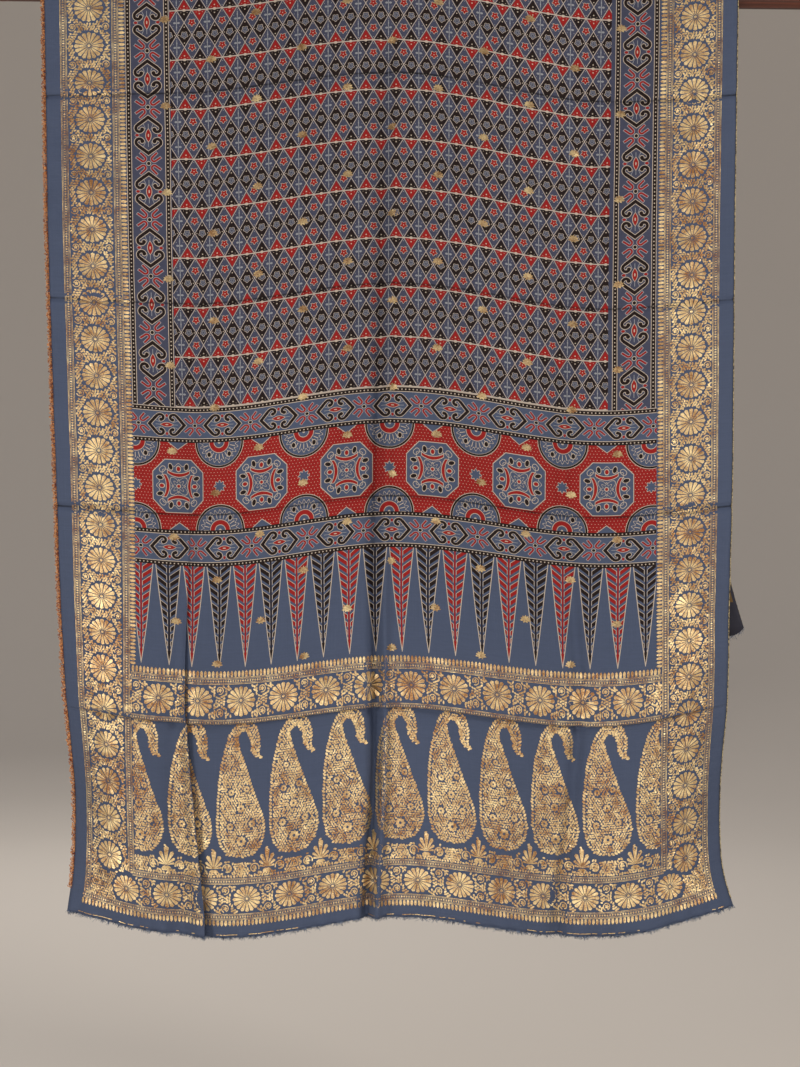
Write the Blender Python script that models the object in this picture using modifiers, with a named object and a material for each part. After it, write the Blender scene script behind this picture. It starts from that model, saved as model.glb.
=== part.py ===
"""An ajrakh block-printed cloth with woven gold borders, hung over a round wooden rod.

Blender 4.5, metres, +Z up. The origin is the middle of the rod's axis. The decorated end of the cloth
faces -Y, X runs along the rod and the cloth falls along -Z, the short fall behind, on the +Y side.
"across" is the flat distance from the cloth's left selvedge and "height" the flat distance above its
front hem. "drop" is the distance that a point hangs below the middle of the rod.
"""

import math
from collections import namedtuple

import bmesh
import bpy
import numpy as np

# Cloth, laid flat
CLOTH_WIDTH = 1.134
CLOTH_LENGTH = 2.650
CLOTH_THICKNESS = 0.0012

# Rod, a little lower at its right end
ROD_RADIUS = 0.019
ROD_LENGTH = 1.370
ROD_SLOPE = math.radians(0.6)
ROD_SIDES = 48

# The cloth's middle surface over the rod, and the steps that take it over
WRAP_RADIUS = 0.0202
WRAP_STEPS = 10

# Weft rows of the front fall: flat height above the hem, drop at the middle of the cloth, and how much
# lower than that the row lies at each of the sag stations
SAG_STATIONS = (0.0, 0.259, 0.567, 0.930, CLOTH_WIDTH)
WeftRow = namedtuple("WeftRow", "name height middle_drop sags")
WEFT_ROWS = (
    WeftRow("hem", 0.000, 1.501, (-0.002, 0.034, 0.0, 0.031, -0.011)),
    WeftRow("foot of the cones", 0.126, 1.375, (-0.003, 0.031, 0.0, 0.027, -0.008)),
    WeftRow("ledge under the cross border", 0.342, 1.159, (0.005, 0.028, 0.0, 0.031, 0.002)),
    WeftRow("top of the cross border", 0.421, 1.080, (0.000, 0.026, 0.0, 0.028, 0.006)),
    WeftRow("foot of the lower hook band", 0.598, 0.903, (0.010, 0.032, 0.0, 0.034, 0.018)),
    WeftRow("top of the lower hook band", 0.656, 0.845, (0.015, 0.031, 0.0, 0.035, 0.015)),
    WeftRow("foot of the upper hook band", 0.799, 0.702, (0.018, 0.032, 0.0, 0.037, 0.021)),
    WeftRow("top of the upper hook band", 0.857, 0.644, (0.016, 0.034, 0.0, 0.039, 0.021)),
    WeftRow("top row of the field", 1.421, 0.080, (0.040, 0.031, 0.0, 0.049, 0.038)),
)

# Where the warp lies along X at several drops: selvedges, inner edges of the borders, and between them
WARP_STATIONS = (0.0, 0.131, 0.259, 0.567, 0.930, 1.006, CLOTH_WIDTH)
WarpSection = namedtuple("WarpSection", "drop along_x")
WARP_SECTIONS = (
    WarpSection(0.017, (-0.563, -0.431, -0.303, 0.002, 0.363, 0.439, 0.565)),
    WarpSection(0.422, (-0.556, -0.424, -0.298, 0.002, 0.358, 0.433, 0.559)),
    WarpSection(0.827, (-0.543, -0.413, -0.293, 0.000, 0.355, 0.431, 0.556)),
    WarpSection(0.989, (-0.540, -0.411, -0.290, -0.001, 0.354, 0.430, 0.554)),
    WarpSection(1.151, (-0.533, -0.410, -0.290, 0.003, 0.353, 0.429, 0.553)),
    WarpSection(1.313, (-0.521, -0.407, -0.288, 0.009, 0.354, 0.428, 0.544)),
    WarpSection(1.443, (-0.523, -0.404, -0.288, 0.010, 0.356, 0.430, 0.549)),
    WarpSection(1.499, (-0.529, -0.403, -0.287, 0.011, 0.358, 0.434, 0.564)),
)

# Folds that run down the front fall: place across and rise towards the viewer at each fold level.
# A fold with a lean tips over sideways by that much at its crest, and hides the cloth beside it.
FOLD_LEVELS = (0.10, 0.45, 0.83, 1.15, 1.50)
Fold = namedtuple("Fold", "name half_width lean across rise")
LEFT_VALLEY = Fold("left valley", 0.018, 0.0, (0.258, 0.245, 0.224, 0.196, 0.204),
                   (-0.004, -0.007, -0.010, -0.012, -0.011))
LEFT_TUCK = Fold("left tuck", 0.0075, 0.014, (0.225, 0.225, 0.225, 0.214, 0.236),
                 (0.0, 0.0, 0.0, 0.004, 0.011))
MIDDLE_VALLEY = Fold("middle valley", 0.013, 0.0, (0.555, 0.548, 0.538, 0.535, 0.512),
                     (-0.004, -0.007, -0.009, -0.009, -0.013))
MIDDLE_RIDGE = Fold("middle ridge", 0.014, 0.0, (0.580, 0.573, 0.563, 0.560, 0.536),
                    (0.001, 0.002, 0.003, 0.003, 0.007))
RIGHT_VALLEY = Fold("right valley", 0.014, 0.0, (0.850, 0.850, 0.855, 0.882, 0.839),
                    (0.0, -0.005, -0.008, -0.008, -0.009))
UPPER_RIGHT_VALLEY = Fold("upper right valley", 0.020, 0.0, (0.860, 0.918, 0.950, 0.950, 0.950),
                          (-0.004, -0.008, 0.0, 0.0, 0.0))
FRONT_FOLDS = (
    LEFT_VALLEY,
    LEFT_TUCK,
    MIDDLE_VALLEY,
    MIDDLE_RIDGE,
    RIGHT_VALLEY,
    UPPER_RIGHT_VALLEY,
    Fold("left border roll", 0.060, 0.0, (0.120, 0.120, 0.118, 0.112, 0.115),
         (0.002, 0.004, 0.007, 0.010, 0.010)),
    Fold("left panel roll", 0.110, 0.0, (0.390, 0.390, 0.385, 0.370, 0.370),
         (0.003, 0.006, 0.009, 0.012, 0.014)),
    Fold("right panel roll", 0.115, 0.0, (0.700, 0.700, 0.695, 0.700, 0.690),
         (0.003, 0.006, 0.010, 0.012, 0.016)),
    Fold("right border roll", 0.070, 0.0, (0.985, 0.985, 0.980, 0.985, 0.975),
         (0.002, 0.004, 0.006, 0.009, 0.011)),
)

# The selvedges turn back, away from the viewer, lower down
CURL_WIDTH = 0.150
CURL_LEVELS = (0.60, 0.83, 0.99, 1.15, 1.31, 1.44, 1.50)
LEFT_CURL = (0.0, 0.004, 0.022, 0.040, 0.056, 0.047, 0.034)
RIGHT_CURL = (0.0, 0.006, 0.022, 0.036, 0.054, 0.044, 0.024)

# The pressed crease under the cross border: the cloth above stands over the cloth below it
LEDGE_HEIGHT = 0.342
LEDGE_STEPS = (-0.100, -0.040, -0.012, 0.001, 0.012, 0.060, 0.150)
LEDGE_RISE = (0.000, -0.002, -0.004, 0.011, 0.012, 0.007, 0.000)
LEDGE_STATIONS = (0.0, 0.10, 0.22, 0.90, 1.03, CLOTH_WIDTH)
LEDGE_STRENGTH = (0.15, 0.6, 1.0, 1.0, 0.6, 0.1)

# A lighter pressed crease through the medallion band
CREASE_HEIGHT = 0.681
CREASE_STEPS = (-0.018, 0.0, 0.018)
CREASE_RISE = (0.0, -0.0025, 0.0)

# The fall behind the rod: it stands off from the front fall lower down, and its right corner flares out
BACK_STAND_OFF = 0.036
BACK_LEVELS = (0.0, 0.40, 0.75, 0.96, 1.055)
BACK_RIGHT_EDGE = (0.565, 0.562, 0.559, 0.565, 0.592)
BACK_LEFT_EDGE = (-0.563, -0.556, -0.550, -0.542, -0.540)
BACK_FOLDS = (
    Fold("back left roll", 0.090, 0.0, (0.230, 0.230, 0.240, 0.250, 0.250),
         (0.001, 0.006, 0.010, 0.014, 0.014)),
    Fold("back middle valley", 0.070, 0.0, (0.520, 0.520, 0.530, 0.540, 0.540),
         (0.0, -0.004, -0.007, -0.009, -0.009)),
    Fold("back right roll", 0.090, 0.0, (0.840, 0.840, 0.830, 0.820, 0.820),
         (0.001, 0.006, 0.010, 0.013, 0.013)),
)

# Rows of the cloth's grid: flat heights on the front, and shares of the fall behind
FRONT_HEIGHTS = (0.0, 0.03, 0.07, 0.115, 0.16, 0.205, 0.25, 0.29, 0.320, 0.334, 0.344, 0.354, 0.38, 0.42,
                 0.48, 0.54, 0.60, 0.645, 0.670, 0.681, 0.692, 0.73, 0.79, 0.86, 0.93, 1.00, 1.08, 1.16,
                 1.24, 1.32, 1.40, 1.46)
BACK_SHARES = (0.05, 0.15, 0.28, 0.42, 0.56, 0.69, 0.80, 0.88, 0.94, 1.0)

# Folds are let in over this drop below the rod
FOLD_START = 0.12

# Frayed hems: a narrow strip with pointed locks, parted from the cloth's own edge
PIECE_GAP = 0.0003
STRIP_HEIGHT = 0.0030
LOCK_ROOT = 0.0050
LOCK_TIP = 0.0012
FRONT_LOCKS = 100
BACK_LOCKS = 56
FRONT_LOCK_LENGTHS = (0.004, 0.012)
BACK_LOCK_LENGTHS = (0.004, 0.010)
LOCK_SWAY = 0.002
FRAY_SEED = 7

# Half the stretch of front hem at the tuck that is folded too tightly for locks
TUCK_SKIP = 0.024

# Colours
INDIGO = (0.082, 0.105, 0.162, 1.0)
FRAYED_BLUE = (0.105, 0.140, 0.215, 1.0)
DARK_WOOD = (0.070, 0.026, 0.016, 1.0)


def clear_scene():
    """Remove whatever the file opened with."""
    for obj in list(bpy.data.objects):
        bpy.data.objects.remove(obj, do_unlink=True)


def plain_material(name, colour, roughness):
    material = bpy.data.materials.new(name)
    material.use_nodes = True
    shader = material.node_tree.nodes["Principled BSDF"]
    shader.inputs["Base Color"].default_value = colour
    shader.inputs["Roughness"].default_value = roughness
    return material


def smooth_through(at, stations, values):
    """A cubic curve through the values; its slope at a station comes from the stations beside it."""
    stations = np.asarray(stations, float)
    values = np.asarray(values, float)
    slopes = np.gradient(values, stations)
    i = np.clip(np.searchsorted(stations, at) - 1, 0, len(stations) - 2)
    span = stations[i + 1] - stations[i]
    t = np.clip((at - stations[i]) / span, 0.0, 1.0)
    start = (1 + 2 * t) * (1 - t) ** 2 * values[i] + t * (1 - t) ** 2 * span * slopes[i]
    end = t ** 2 * (3 - 2 * t) * values[i + 1] - t ** 2 * (1 - t) * span * slopes[i + 1]
    return start + end


def ease(value):
    """Smooth step from 0 at value 0 to 1 at value 1."""
    t = np.clip(value, 0.0, 1.0)
    return t * t * (3 - 2 * t)


def rod_height(along_x):
    """Height of the rod's axis, which drops to the right."""
    return -along_x * math.tan(ROD_SLOPE)


def drop_of(across, height):
    """Drop of the front fall's points: each weft row's own sag, blended from row to row."""
    rows = [row.middle_drop + smooth_through(across, SAG_STATIONS, row.sags) for row in WEFT_ROWS]
    heights = [row.height for row in WEFT_ROWS]
    columns = zip(height, np.array(rows).T)
    drop = np.array([np.interp(h, heights, column) for h, column in columns])
    return drop - np.maximum(height - heights[-1], 0.0)


def warp_place(across, drop):
    """X of the front fall's points, from the warp sections above and below them."""
    sections = [smooth_through(across, WARP_STATIONS, section.along_x) for section in WARP_SECTIONS]
    drops = [section.drop for section in WARP_SECTIONS]
    columns = zip(drop, np.array(sections).T)
    return np.array([smooth_through(d, drops, column) for d, column in columns])


def height_at_rod(across):
    """Flat height of the cloth where it reaches the height of the rod's axis."""
    top = WEFT_ROWS[-1]
    top_drop = top.middle_drop + smooth_through(across, SAG_STATIONS, top.sags)
    along_x = smooth_through(across, WARP_STATIONS, WARP_SECTIONS[0].along_x)
    return top.height + top_drop + rod_height(along_x)


def fold_place(fold, drop):
    return smooth_through(drop, FOLD_LEVELS, fold.across)


def folded(across, drop, folds):
    """Rise and sideways lean of the folds, each a bell exp(-(d / w)^2) across the cloth."""
    rise = np.zeros_like(across)
    lean = np.zeros_like(across)
    for fold in folds:
        strength = smooth_through(drop, FOLD_LEVELS, fold.rise) * ease(drop / FOLD_START)
        bell = np.exp(-((across - fold_place(fold, drop)) / fold.half_width) ** 2)
        rise += strength * bell
        lean += fold.lean * bell * strength / np.abs(fold.rise).max()
    return rise, lean


def curl_back(across, drop):
    """How far the two selvedges turn away from the viewer."""
    left = np.clip(1 - across / CURL_WIDTH, 0.0, 1.0) ** 1.6
    right = np.clip(1 - (CLOTH_WIDTH - across) / CURL_WIDTH, 0.0, 1.0) ** 1.6
    left_reach = smooth_through(drop, CURL_LEVELS, LEFT_CURL)
    right_reach = smooth_through(drop, CURL_LEVELS, RIGHT_CURL)
    return left * left_reach + right * right_reach


def pressed_creases(across, height):
    """The ledge under the cross border and the crease above it, both level along the weft."""
    strength = np.interp(across, LEDGE_STATIONS, LEDGE_STRENGTH)
    ledge = strength * np.interp(height - LEDGE_HEIGHT, LEDGE_STEPS, LEDGE_RISE)
    crease = np.interp(height - CREASE_HEIGHT, CREASE_STEPS, CREASE_RISE)
    return ledge + crease


def front_points(across, height):
    """Points of the front fall, as an array of x, y, z. A height under 0 runs straight below the hem."""
    drop = drop_of(across, np.maximum(height, 0.0)) - np.minimum(height, 0.0)
    rise, lean = folded(across, drop, FRONT_FOLDS)
    rise = rise + pressed_creases(across, height) - curl_back(across, drop)
    return np.column_stack((warp_place(across, drop) + lean, -WRAP_RADIUS - rise, -drop))


def wrap_points(across, turn):
    """Points where the cloth rides over the rod; turn runs from 0 at the front to pi behind."""
    along_x = smooth_through(across, WARP_STATIONS, WARP_SECTIONS[0].along_x)
    y = np.full_like(across, -WRAP_RADIUS * math.cos(turn))
    return np.column_stack((along_x, y, rod_height(along_x) + WRAP_RADIUS * math.sin(turn)))


def back_points(across, share, below=0.0):
    """Points of the fall behind the rod, at a share of its length; below runs on past its hem."""
    length = CLOTH_LENGTH - height_at_rod(across) - math.pi * WRAP_RADIUS
    along_x = smooth_through(across, WARP_STATIONS, WARP_SECTIONS[0].along_x)
    drop = share * length - rod_height(along_x) * (1 - share)
    rise, lean = folded(across, drop, BACK_FOLDS)
    left = smooth_through(drop, BACK_LEVELS, BACK_LEFT_EDGE) - along_x[0]
    right = smooth_through(drop, BACK_LEVELS, BACK_RIGHT_EDGE) - along_x[-1]
    beside = across / CLOTH_WIDTH
    x = along_x + lean + left * (1 - beside) ** 3 + right * beside ** 3
    y = WRAP_RADIUS + BACK_STAND_OFF * ease(drop / 0.8) + rise
    return np.column_stack((x, y, -drop - below))


def column_places(drop):
    """Places across the cloth of the grid's columns, which gather at the folds and follow them down."""
    valley, tuck, middle, right = (float(fold_place(fold, drop)) for fold in
                                   (LEFT_VALLEY, LEFT_TUCK, MIDDLE_VALLEY, RIGHT_VALLEY))
    gathers = (
        (0, 0.0),
        (6, valley - 0.022),
        (8, min(valley, tuck - 0.018)),
        (16, tuck + 0.018),
        (22, middle - 0.022),
        (26, middle + 0.038),
        (32, right - 0.024),
        (35, right + 0.020),
        (41, CLOTH_WIDTH),
    )
    index, across = zip(*gathers)
    return np.interp(np.arange(index[-1] + 1), index, across)


def cloth_rows():
    """The cloth's middle surface as rows of points, from the front hem over the rod to the back hem."""
    middle_drop = WEFT_ROWS[0].middle_drop
    rows = []
    for height in FRONT_HEIGHTS:
        across = column_places(middle_drop - height)
        rows.append(front_points(across, np.full_like(across, height)))
    across = column_places(0.0)
    for step in range(WRAP_STEPS + 1):
        rows.append(wrap_points(across, math.pi * step / WRAP_STEPS))
    for share in BACK_SHARES:
        rows.append(back_points(across, share))
    return np.array(rows)


def sheet_object(name, rows, material):
    """A thin solid on a grid of points: an open grid with Solidify."""
    count_down, count_across = rows.shape[:2]
    bm = bmesh.new()
    bmesh.ops.create_grid(bm, x_segments=count_across - 1, y_segments=count_down - 1, size=1.0)
    bm.verts.ensure_lookup_table()
    for vert, point in zip(bm.verts, rows.reshape(-1, 3)):
        vert.co = point
    return finish_sheet(name, bm, material)


def finish_sheet(name, bm, material):
    mesh = bpy.data.meshes.new(name)
    bm.to_mesh(mesh)
    bm.free()
    mesh.shade_smooth()
    mesh.materials.append(material)
    obj = bpy.data.objects.new(name, mesh)
    solidify = obj.modifiers.new("Thickness", "SOLIDIFY")
    solidify.thickness = CLOTH_THICKNESS
    solidify.offset = 0.0
    return obj


def hem_walk(points):
    """Distance along a hem from its left end to each of its points."""
    steps = np.linalg.norm(np.diff(points, axis=0), axis=1)
    return np.concatenate(([0.0], np.cumsum(steps)))


def frayed_hem(name, hem, count, lengths, skipped, material):
    """A strip just below a hem, drawn out into flat pointed locks of uneven length.

    skipped is a stretch of the hem, as a start and an end along it, that is too tightly folded for locks.
    """
    rng = np.random.default_rng(FRAY_SEED)
    walk = hem_walk(hem)
    centres = (np.arange(count) + 0.5) * walk[-1] / count
    centres = centres[(centres < skipped[0]) | (centres > skipped[1])]
    roots = np.sort(np.concatenate((centres - LOCK_ROOT / 2, centres + LOCK_ROOT / 2)))
    stations = np.unique(np.concatenate((walk, roots)))
    stations = stations[np.concatenate(([True], np.diff(stations) > 1e-5))]
    line = np.column_stack([np.interp(stations, walk, hem[:, axis]) for axis in range(3)])

    bm = bmesh.new()
    top = [bm.verts.new(point - (0.0, 0.0, PIECE_GAP)) for point in line]
    foot = [bm.verts.new(point - (0.0, 0.0, PIECE_GAP + STRIP_HEIGHT)) for point in line]
    for i in range(len(stations) - 1):
        bm.faces.new((top[i], foot[i], foot[i + 1], top[i + 1]))
    for centre in centres:
        first = int(np.argmin(np.abs(stations - (centre - LOCK_ROOT / 2))))
        last = int(np.argmin(np.abs(stations - (centre + LOCK_ROOT / 2))))
        length = rng.uniform(*lengths)
        sway = rng.uniform(-LOCK_SWAY, LOCK_SWAY)
        middle = (line[first] + line[last]) / 2 - (0.0, 0.0, PIECE_GAP + STRIP_HEIGHT + length)
        along = (line[last] - line[first]) / np.linalg.norm(line[last] - line[first])
        tips = []
        for place in range(first, last + 1):
            share = 2 * (place - first) / (last - first) - 1
            tips.append(bm.verts.new(middle + along * (sway + share * LOCK_TIP / 2)))
        for k in range(last - first):
            bm.faces.new((foot[first + k], tips[k], tips[k + 1], foot[first + k + 1]))
    bmesh.ops.recalc_face_normals(bm, faces=bm.faces)
    return finish_sheet(name, bm, material)


def wooden_rod(material):
    bpy.ops.mesh.primitive_cylinder_add(
        vertices=ROD_SIDES, radius=ROD_RADIUS, depth=ROD_LENGTH, rotation=(0, math.pi / 2 + ROD_SLOPE, 0))
    rod = bpy.context.object
    rod.name = "rod"
    rod.data.name = "rod"
    rod.data.shade_smooth()
    rod.data.set_sharp_from_angle(angle=math.radians(40))
    rod.data.materials.append(material)
    return rod


def gather(collection_name, objects):
    """Put the parts in one collection, under an empty at the middle of the rod."""
    collection = bpy.data.collections.new(collection_name)
    bpy.context.scene.collection.children.link(collection)
    middle = bpy.data.objects.new("rod_middle", None)
    collection.objects.link(middle)
    for obj in objects:
        for other in list(obj.users_collection):
            other.objects.unlink(obj)
        collection.objects.link(obj)
        obj.parent = middle


clear_scene()
indigo = plain_material("Printed indigo cloth", INDIGO, 0.75)
frayed = plain_material("Frayed blue threads", FRAYED_BLUE, 0.9)
wood = plain_material("Dark wood", DARK_WOOD, 0.5)

rows = cloth_rows()
front_hem = rows[0]
back_hem = rows[-1]
hem_columns = column_places(WEFT_ROWS[0].middle_drop)
tuck_place = float(fold_place(LEFT_TUCK, WEFT_ROWS[0].middle_drop))
tuck_walk = float(np.interp(tuck_place, hem_columns, hem_walk(front_hem)))

gather("Ajrakh cloth on a rod", [
    sheet_object("cloth", rows, indigo),
    frayed_hem("hem_fringe_front", front_hem, FRONT_LOCKS, FRONT_LOCK_LENGTHS,
               (tuck_walk - TUCK_SKIP, tuck_walk + TUCK_SKIP), frayed),
    frayed_hem("hem_fringe_back", back_hem, BACK_LOCKS, BACK_LOCK_LENGTHS, (0.0, 0.0), frayed),
    wooden_rod(wood),
])
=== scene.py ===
"""An ajrakh block-printed cloth with woven gold borders, hung over a round wooden rod.

Blender 4.5, metres, +Z up,
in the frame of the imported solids: the origin is the middle of the rod's axis and
the decorated end faces -Y. "across" is the flat distance from the cloth's left selvedge and "walked" the
flat distance from its front hem, over the rod and down the fall behind.
"""
import math

import bpy
import numpy as np
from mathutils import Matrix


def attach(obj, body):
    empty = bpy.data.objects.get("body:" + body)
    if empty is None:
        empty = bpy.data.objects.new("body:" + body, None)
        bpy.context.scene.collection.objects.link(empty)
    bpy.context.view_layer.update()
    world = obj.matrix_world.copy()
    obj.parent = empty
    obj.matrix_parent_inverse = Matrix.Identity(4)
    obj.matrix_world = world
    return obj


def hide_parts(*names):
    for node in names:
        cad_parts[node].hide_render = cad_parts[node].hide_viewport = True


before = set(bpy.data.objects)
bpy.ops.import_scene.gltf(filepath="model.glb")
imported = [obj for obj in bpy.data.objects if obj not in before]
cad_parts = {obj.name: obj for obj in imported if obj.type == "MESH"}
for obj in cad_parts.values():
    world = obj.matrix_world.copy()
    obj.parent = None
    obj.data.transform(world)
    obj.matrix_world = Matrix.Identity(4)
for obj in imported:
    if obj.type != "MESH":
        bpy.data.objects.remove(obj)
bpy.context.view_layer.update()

# Camera. It stands level in front of the cloth, a little right of its middle, and sees 1.62 mm to a pixel
# of the 800 x 1067 picture at the cloth's face.
CAMERA_PLACE = (0.0162, -3.2, -0.881)
CAMERA_LENS = 66.2
camera = bpy.data.objects.new("camera", bpy.data.cameras.new("camera"))
bpy.context.collection.objects.link(camera)
camera.location = CAMERA_PLACE
camera.rotation_euler = (math.pi / 2, 0, 0)
camera.data.sensor_width = 36
camera.data.lens = CAMERA_LENS
bpy.context.scene.camera = camera

# Floor and light. A plain pale floor sweeps up all round the object; soft lights stand to the left and the
# right of the camera, a weak one low between them, and one behind the cloth.
FLOOR_HEIGHT = -1.95
FLOOR_RADIUS = 9.0
FLOOR_BEND = 5.0
WALL_TOP = 4.4
FLOOR_COLOUR = (0.70, 0.64, 0.57, 1.0)


def turned_surface(name, radius, height, steps):
    """A surface of revolution about Z: each (radius, height) of the profile swept through a full turn."""
    turn = np.linspace(0, 2 * math.pi, steps, endpoint=False)
    points = np.stack((np.outer(radius, np.cos(turn)), np.outer(radius, np.sin(turn)),
                       np.repeat(height[:, None], steps, 1)), -1)
    i, j = np.meshgrid(np.arange(len(radius) - 1), np.arange(steps), indexing="ij")
    after = (j + 1) % steps
    faces = np.stack((i * steps + j, (i + 1) * steps + j, (i + 1) * steps + after, i * steps + after), -1)
    mesh = bpy.data.meshes.new(name)
    mesh.from_pydata(points.reshape(-1, 3).tolist(), [], faces.reshape(-1, 4)[:, ::-1].tolist())
    mesh.shade_smooth()
    obj = bpy.data.objects.new(name, mesh)
    bpy.context.collection.objects.link(obj)
    return obj


bend = np.linspace(0, math.pi / 2, 13)
floor = turned_surface("floor",
                       np.concatenate(([0.001], FLOOR_RADIUS + FLOOR_BEND * (np.sin(bend) - 1),
                                       [FLOOR_RADIUS])),
                       np.concatenate(([FLOOR_HEIGHT], FLOOR_HEIGHT + FLOOR_BEND * (1 - np.cos(bend)),
                                       [WALL_TOP])), 96)
pale = bpy.data.materials.new("Pale floor")
pale.use_nodes = True
pale.node_tree.nodes["Principled BSDF"].inputs["Base Color"].default_value = FLOOR_COLOUR
pale.node_tree.nodes["Principled BSDF"].inputs["Roughness"].default_value = 0.9
floor.data.materials.append(pale)

for name, place, size, power, colour in (
        ("left light", (-3.0, -2.2, -0.9), 0.8, 43.0, (1.0, 0.96, 0.90)),
        ("right light", (2.9, -2.4, 0.1), 1.0, 56.0, (1.0, 0.95, 0.88)),
        ("low light", (-0.2, -3.4, -1.4), 1.6, 38.0, (1.0, 0.97, 0.94)),
        ("back light", (-1.0, 3.4, 1.2), 2.5, 60.0, (1.0, 0.97, 0.93))):
    lamp = bpy.data.objects.new(name, bpy.data.lights.new(name, "AREA"))
    bpy.context.collection.objects.link(lamp)
    lamp.data.size, lamp.data.energy, lamp.data.color = size, power, colour
    lamp.location = place
    aim = np.array((0.0, 0.0, -0.8)) - place
    lamp.rotation_euler = (math.acos(-aim[2] / np.linalg.norm(aim)), 0,
                           math.atan2(aim[1], aim[0]) - math.pi / 2)
world = bpy.data.worlds.new("studio")
bpy.context.scene.world = world
world.use_nodes = True
world.node_tree.nodes["Background"].inputs["Color"].default_value = (0.95, 0.95, 1.0, 1.0)
world.node_tree.nodes["Background"].inputs["Strength"].default_value = 0.36
bpy.context.scene.view_settings.view_transform = "Standard"

# Cloth. One woven length, 1.134 x 2.650 m, block printed in indigo, madder red and iron black, hung over
# the rod with the decorated end in front. Its shape is the solids' own: weft rows that sag, warp lines that
# draw in lower down, and folds, on a finer grid and with small rumples.
CLOTH_WIDTH = 1.134
CLOTH_LENGTH = 2.650
CLOTH_THICKNESS = 0.0008
PATTERN_END = CLOTH_LENGTH - 0.058
ROD_SLOPE = math.radians(0.6)
WRAP_RADIUS = 0.0202
SAG_STATIONS = (0.0, 0.259, 0.567, 0.930, CLOTH_WIDTH)
# Weft rows: height above the hem, drop at the middle, and how much lower the row lies at each sag station
WEFT_ROWS = (
    (0.000, 1.501, (-0.002, 0.034, 0.0, 0.031, -0.011)),
    (0.126, 1.375, (-0.003, 0.031, 0.0, 0.027, -0.008)),
    (0.342, 1.159, (0.005, 0.028, 0.0, 0.031, 0.002)),
    (0.421, 1.080, (0.000, 0.026, 0.0, 0.028, 0.006)),
    (0.598, 0.903, (0.010, 0.032, 0.0, 0.034, 0.018)),
    (0.656, 0.845, (0.015, 0.031, 0.0, 0.035, 0.015)),
    (0.799, 0.702, (0.018, 0.032, 0.0, 0.037, 0.021)),
    (0.857, 0.644, (0.016, 0.034, 0.0, 0.039, 0.021)),
    (1.421, 0.080, (0.040, 0.031, 0.0, 0.049, 0.038)),
)
WARP_STATIONS = (0.0, 0.131, 0.259, 0.567, 0.930, 1.006, CLOTH_WIDTH)
# Warp sections: drop below the middle of the rod, and where the warp stations lie along X there
WARP_SECTIONS = (
    (0.017, (-0.563, -0.431, -0.303, 0.002, 0.363, 0.439, 0.565)),
    (0.422, (-0.556, -0.424, -0.298, 0.002, 0.358, 0.433, 0.559)),
    (0.827, (-0.543, -0.413, -0.293, 0.000, 0.355, 0.431, 0.556)),
    (0.989, (-0.540, -0.411, -0.290, -0.001, 0.354, 0.430, 0.554)),
    (1.151, (-0.533, -0.410, -0.290, 0.003, 0.353, 0.429, 0.553)),
    (1.313, (-0.521, -0.407, -0.288, 0.009, 0.354, 0.428, 0.544)),
    (1.443, (-0.523, -0.404, -0.288, 0.010, 0.356, 0.430, 0.549)),
    (1.499, (-0.529, -0.403, -0.287, 0.011, 0.358, 0.434, 0.564)),
)
FOLD_LEVELS = (0.10, 0.45, 0.83, 1.15, 1.50)
# Folds: half width, sideways lean at the crest, place across and rise at each fold level
FRONT_FOLDS = (
    (0.018, 0.0, (0.258, 0.245, 0.224, 0.196, 0.204), (-0.004, -0.007, -0.010, -0.012, -0.011)),
    (0.0085, 0.0, (0.555, 0.548, 0.540, 0.538, 0.516), (-0.008, -0.012, -0.014, -0.016, -0.020)),
    (0.0070, 0.0, (0.578, 0.570, 0.561, 0.556, 0.534), (0.005, 0.007, 0.009, 0.010, 0.016)),
    (0.011, 0.0, (0.850, 0.850, 0.855, 0.882, 0.842), (0.0, -0.005, -0.009, -0.010, -0.012)),
    (0.020, 0.0, (0.860, 0.918, 0.950, 0.950, 0.950), (-0.004, -0.008, 0.0, 0.0, 0.0)),
    (0.060, 0.0, (0.120, 0.120, 0.118, 0.112, 0.115), (0.002, 0.004, 0.007, 0.010, 0.010)),
    (0.110, 0.0, (0.390, 0.390, 0.385, 0.370, 0.370), (0.003, 0.006, 0.009, 0.012, 0.014)),
    (0.115, 0.0, (0.700, 0.700, 0.695, 0.700, 0.690), (0.003, 0.006, 0.010, 0.012, 0.016)),
    (0.070, 0.0, (0.985, 0.985, 0.980, 0.985, 0.975), (0.002, 0.004, 0.006, 0.009, 0.011)),
)
BACK_FOLDS = (
    (0.090, 0.0, (0.230, 0.230, 0.240, 0.250, 0.250), (0.001, 0.006, 0.010, 0.014, 0.014)),
    (0.070, 0.0, (0.520, 0.520, 0.530, 0.540, 0.540), (0.0, -0.004, -0.007, -0.009, -0.009)),
    (0.090, 0.0, (0.840, 0.840, 0.830, 0.820, 0.820), (0.001, 0.006, 0.010, 0.013, 0.013)),
)
# Tuck: the cloth on its left runs over the lip, turns back beneath it and comes forward again
TUCK_PLACES = (0.225, 0.225, 0.225, 0.214, 0.243)
TUCK_SHARE = (0.0, 0.0, 0.15, 0.75, 1.0)
TUCK_TURNED_BACK = 0.0032
TUCK_OVERLAP = 0.0062
TUCK_RISE = 0.0120
TUCK_HOLLOW = 0.0070
TUCK_REACH = 0.062
FOLD_START = 0.12
CURL_WIDTH = 0.150
CURL_LEVELS = (0.60, 0.83, 0.99, 1.15, 1.31, 1.44, 1.50)
LEFT_CURL = (0.0, 0.004, 0.022, 0.040, 0.056, 0.047, 0.034)
RIGHT_CURL = (0.0, 0.006, 0.022, 0.036, 0.054, 0.044, 0.024)
LEDGE_HEIGHT = 0.342
LEDGE_STEPS = (-0.100, -0.040, -0.006, -0.001, 0.002, 0.012, 0.060, 0.150)
LEDGE_RISE = (0.000, -0.002, -0.0045, -0.002, 0.010, 0.012, 0.007, 0.000)
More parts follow.
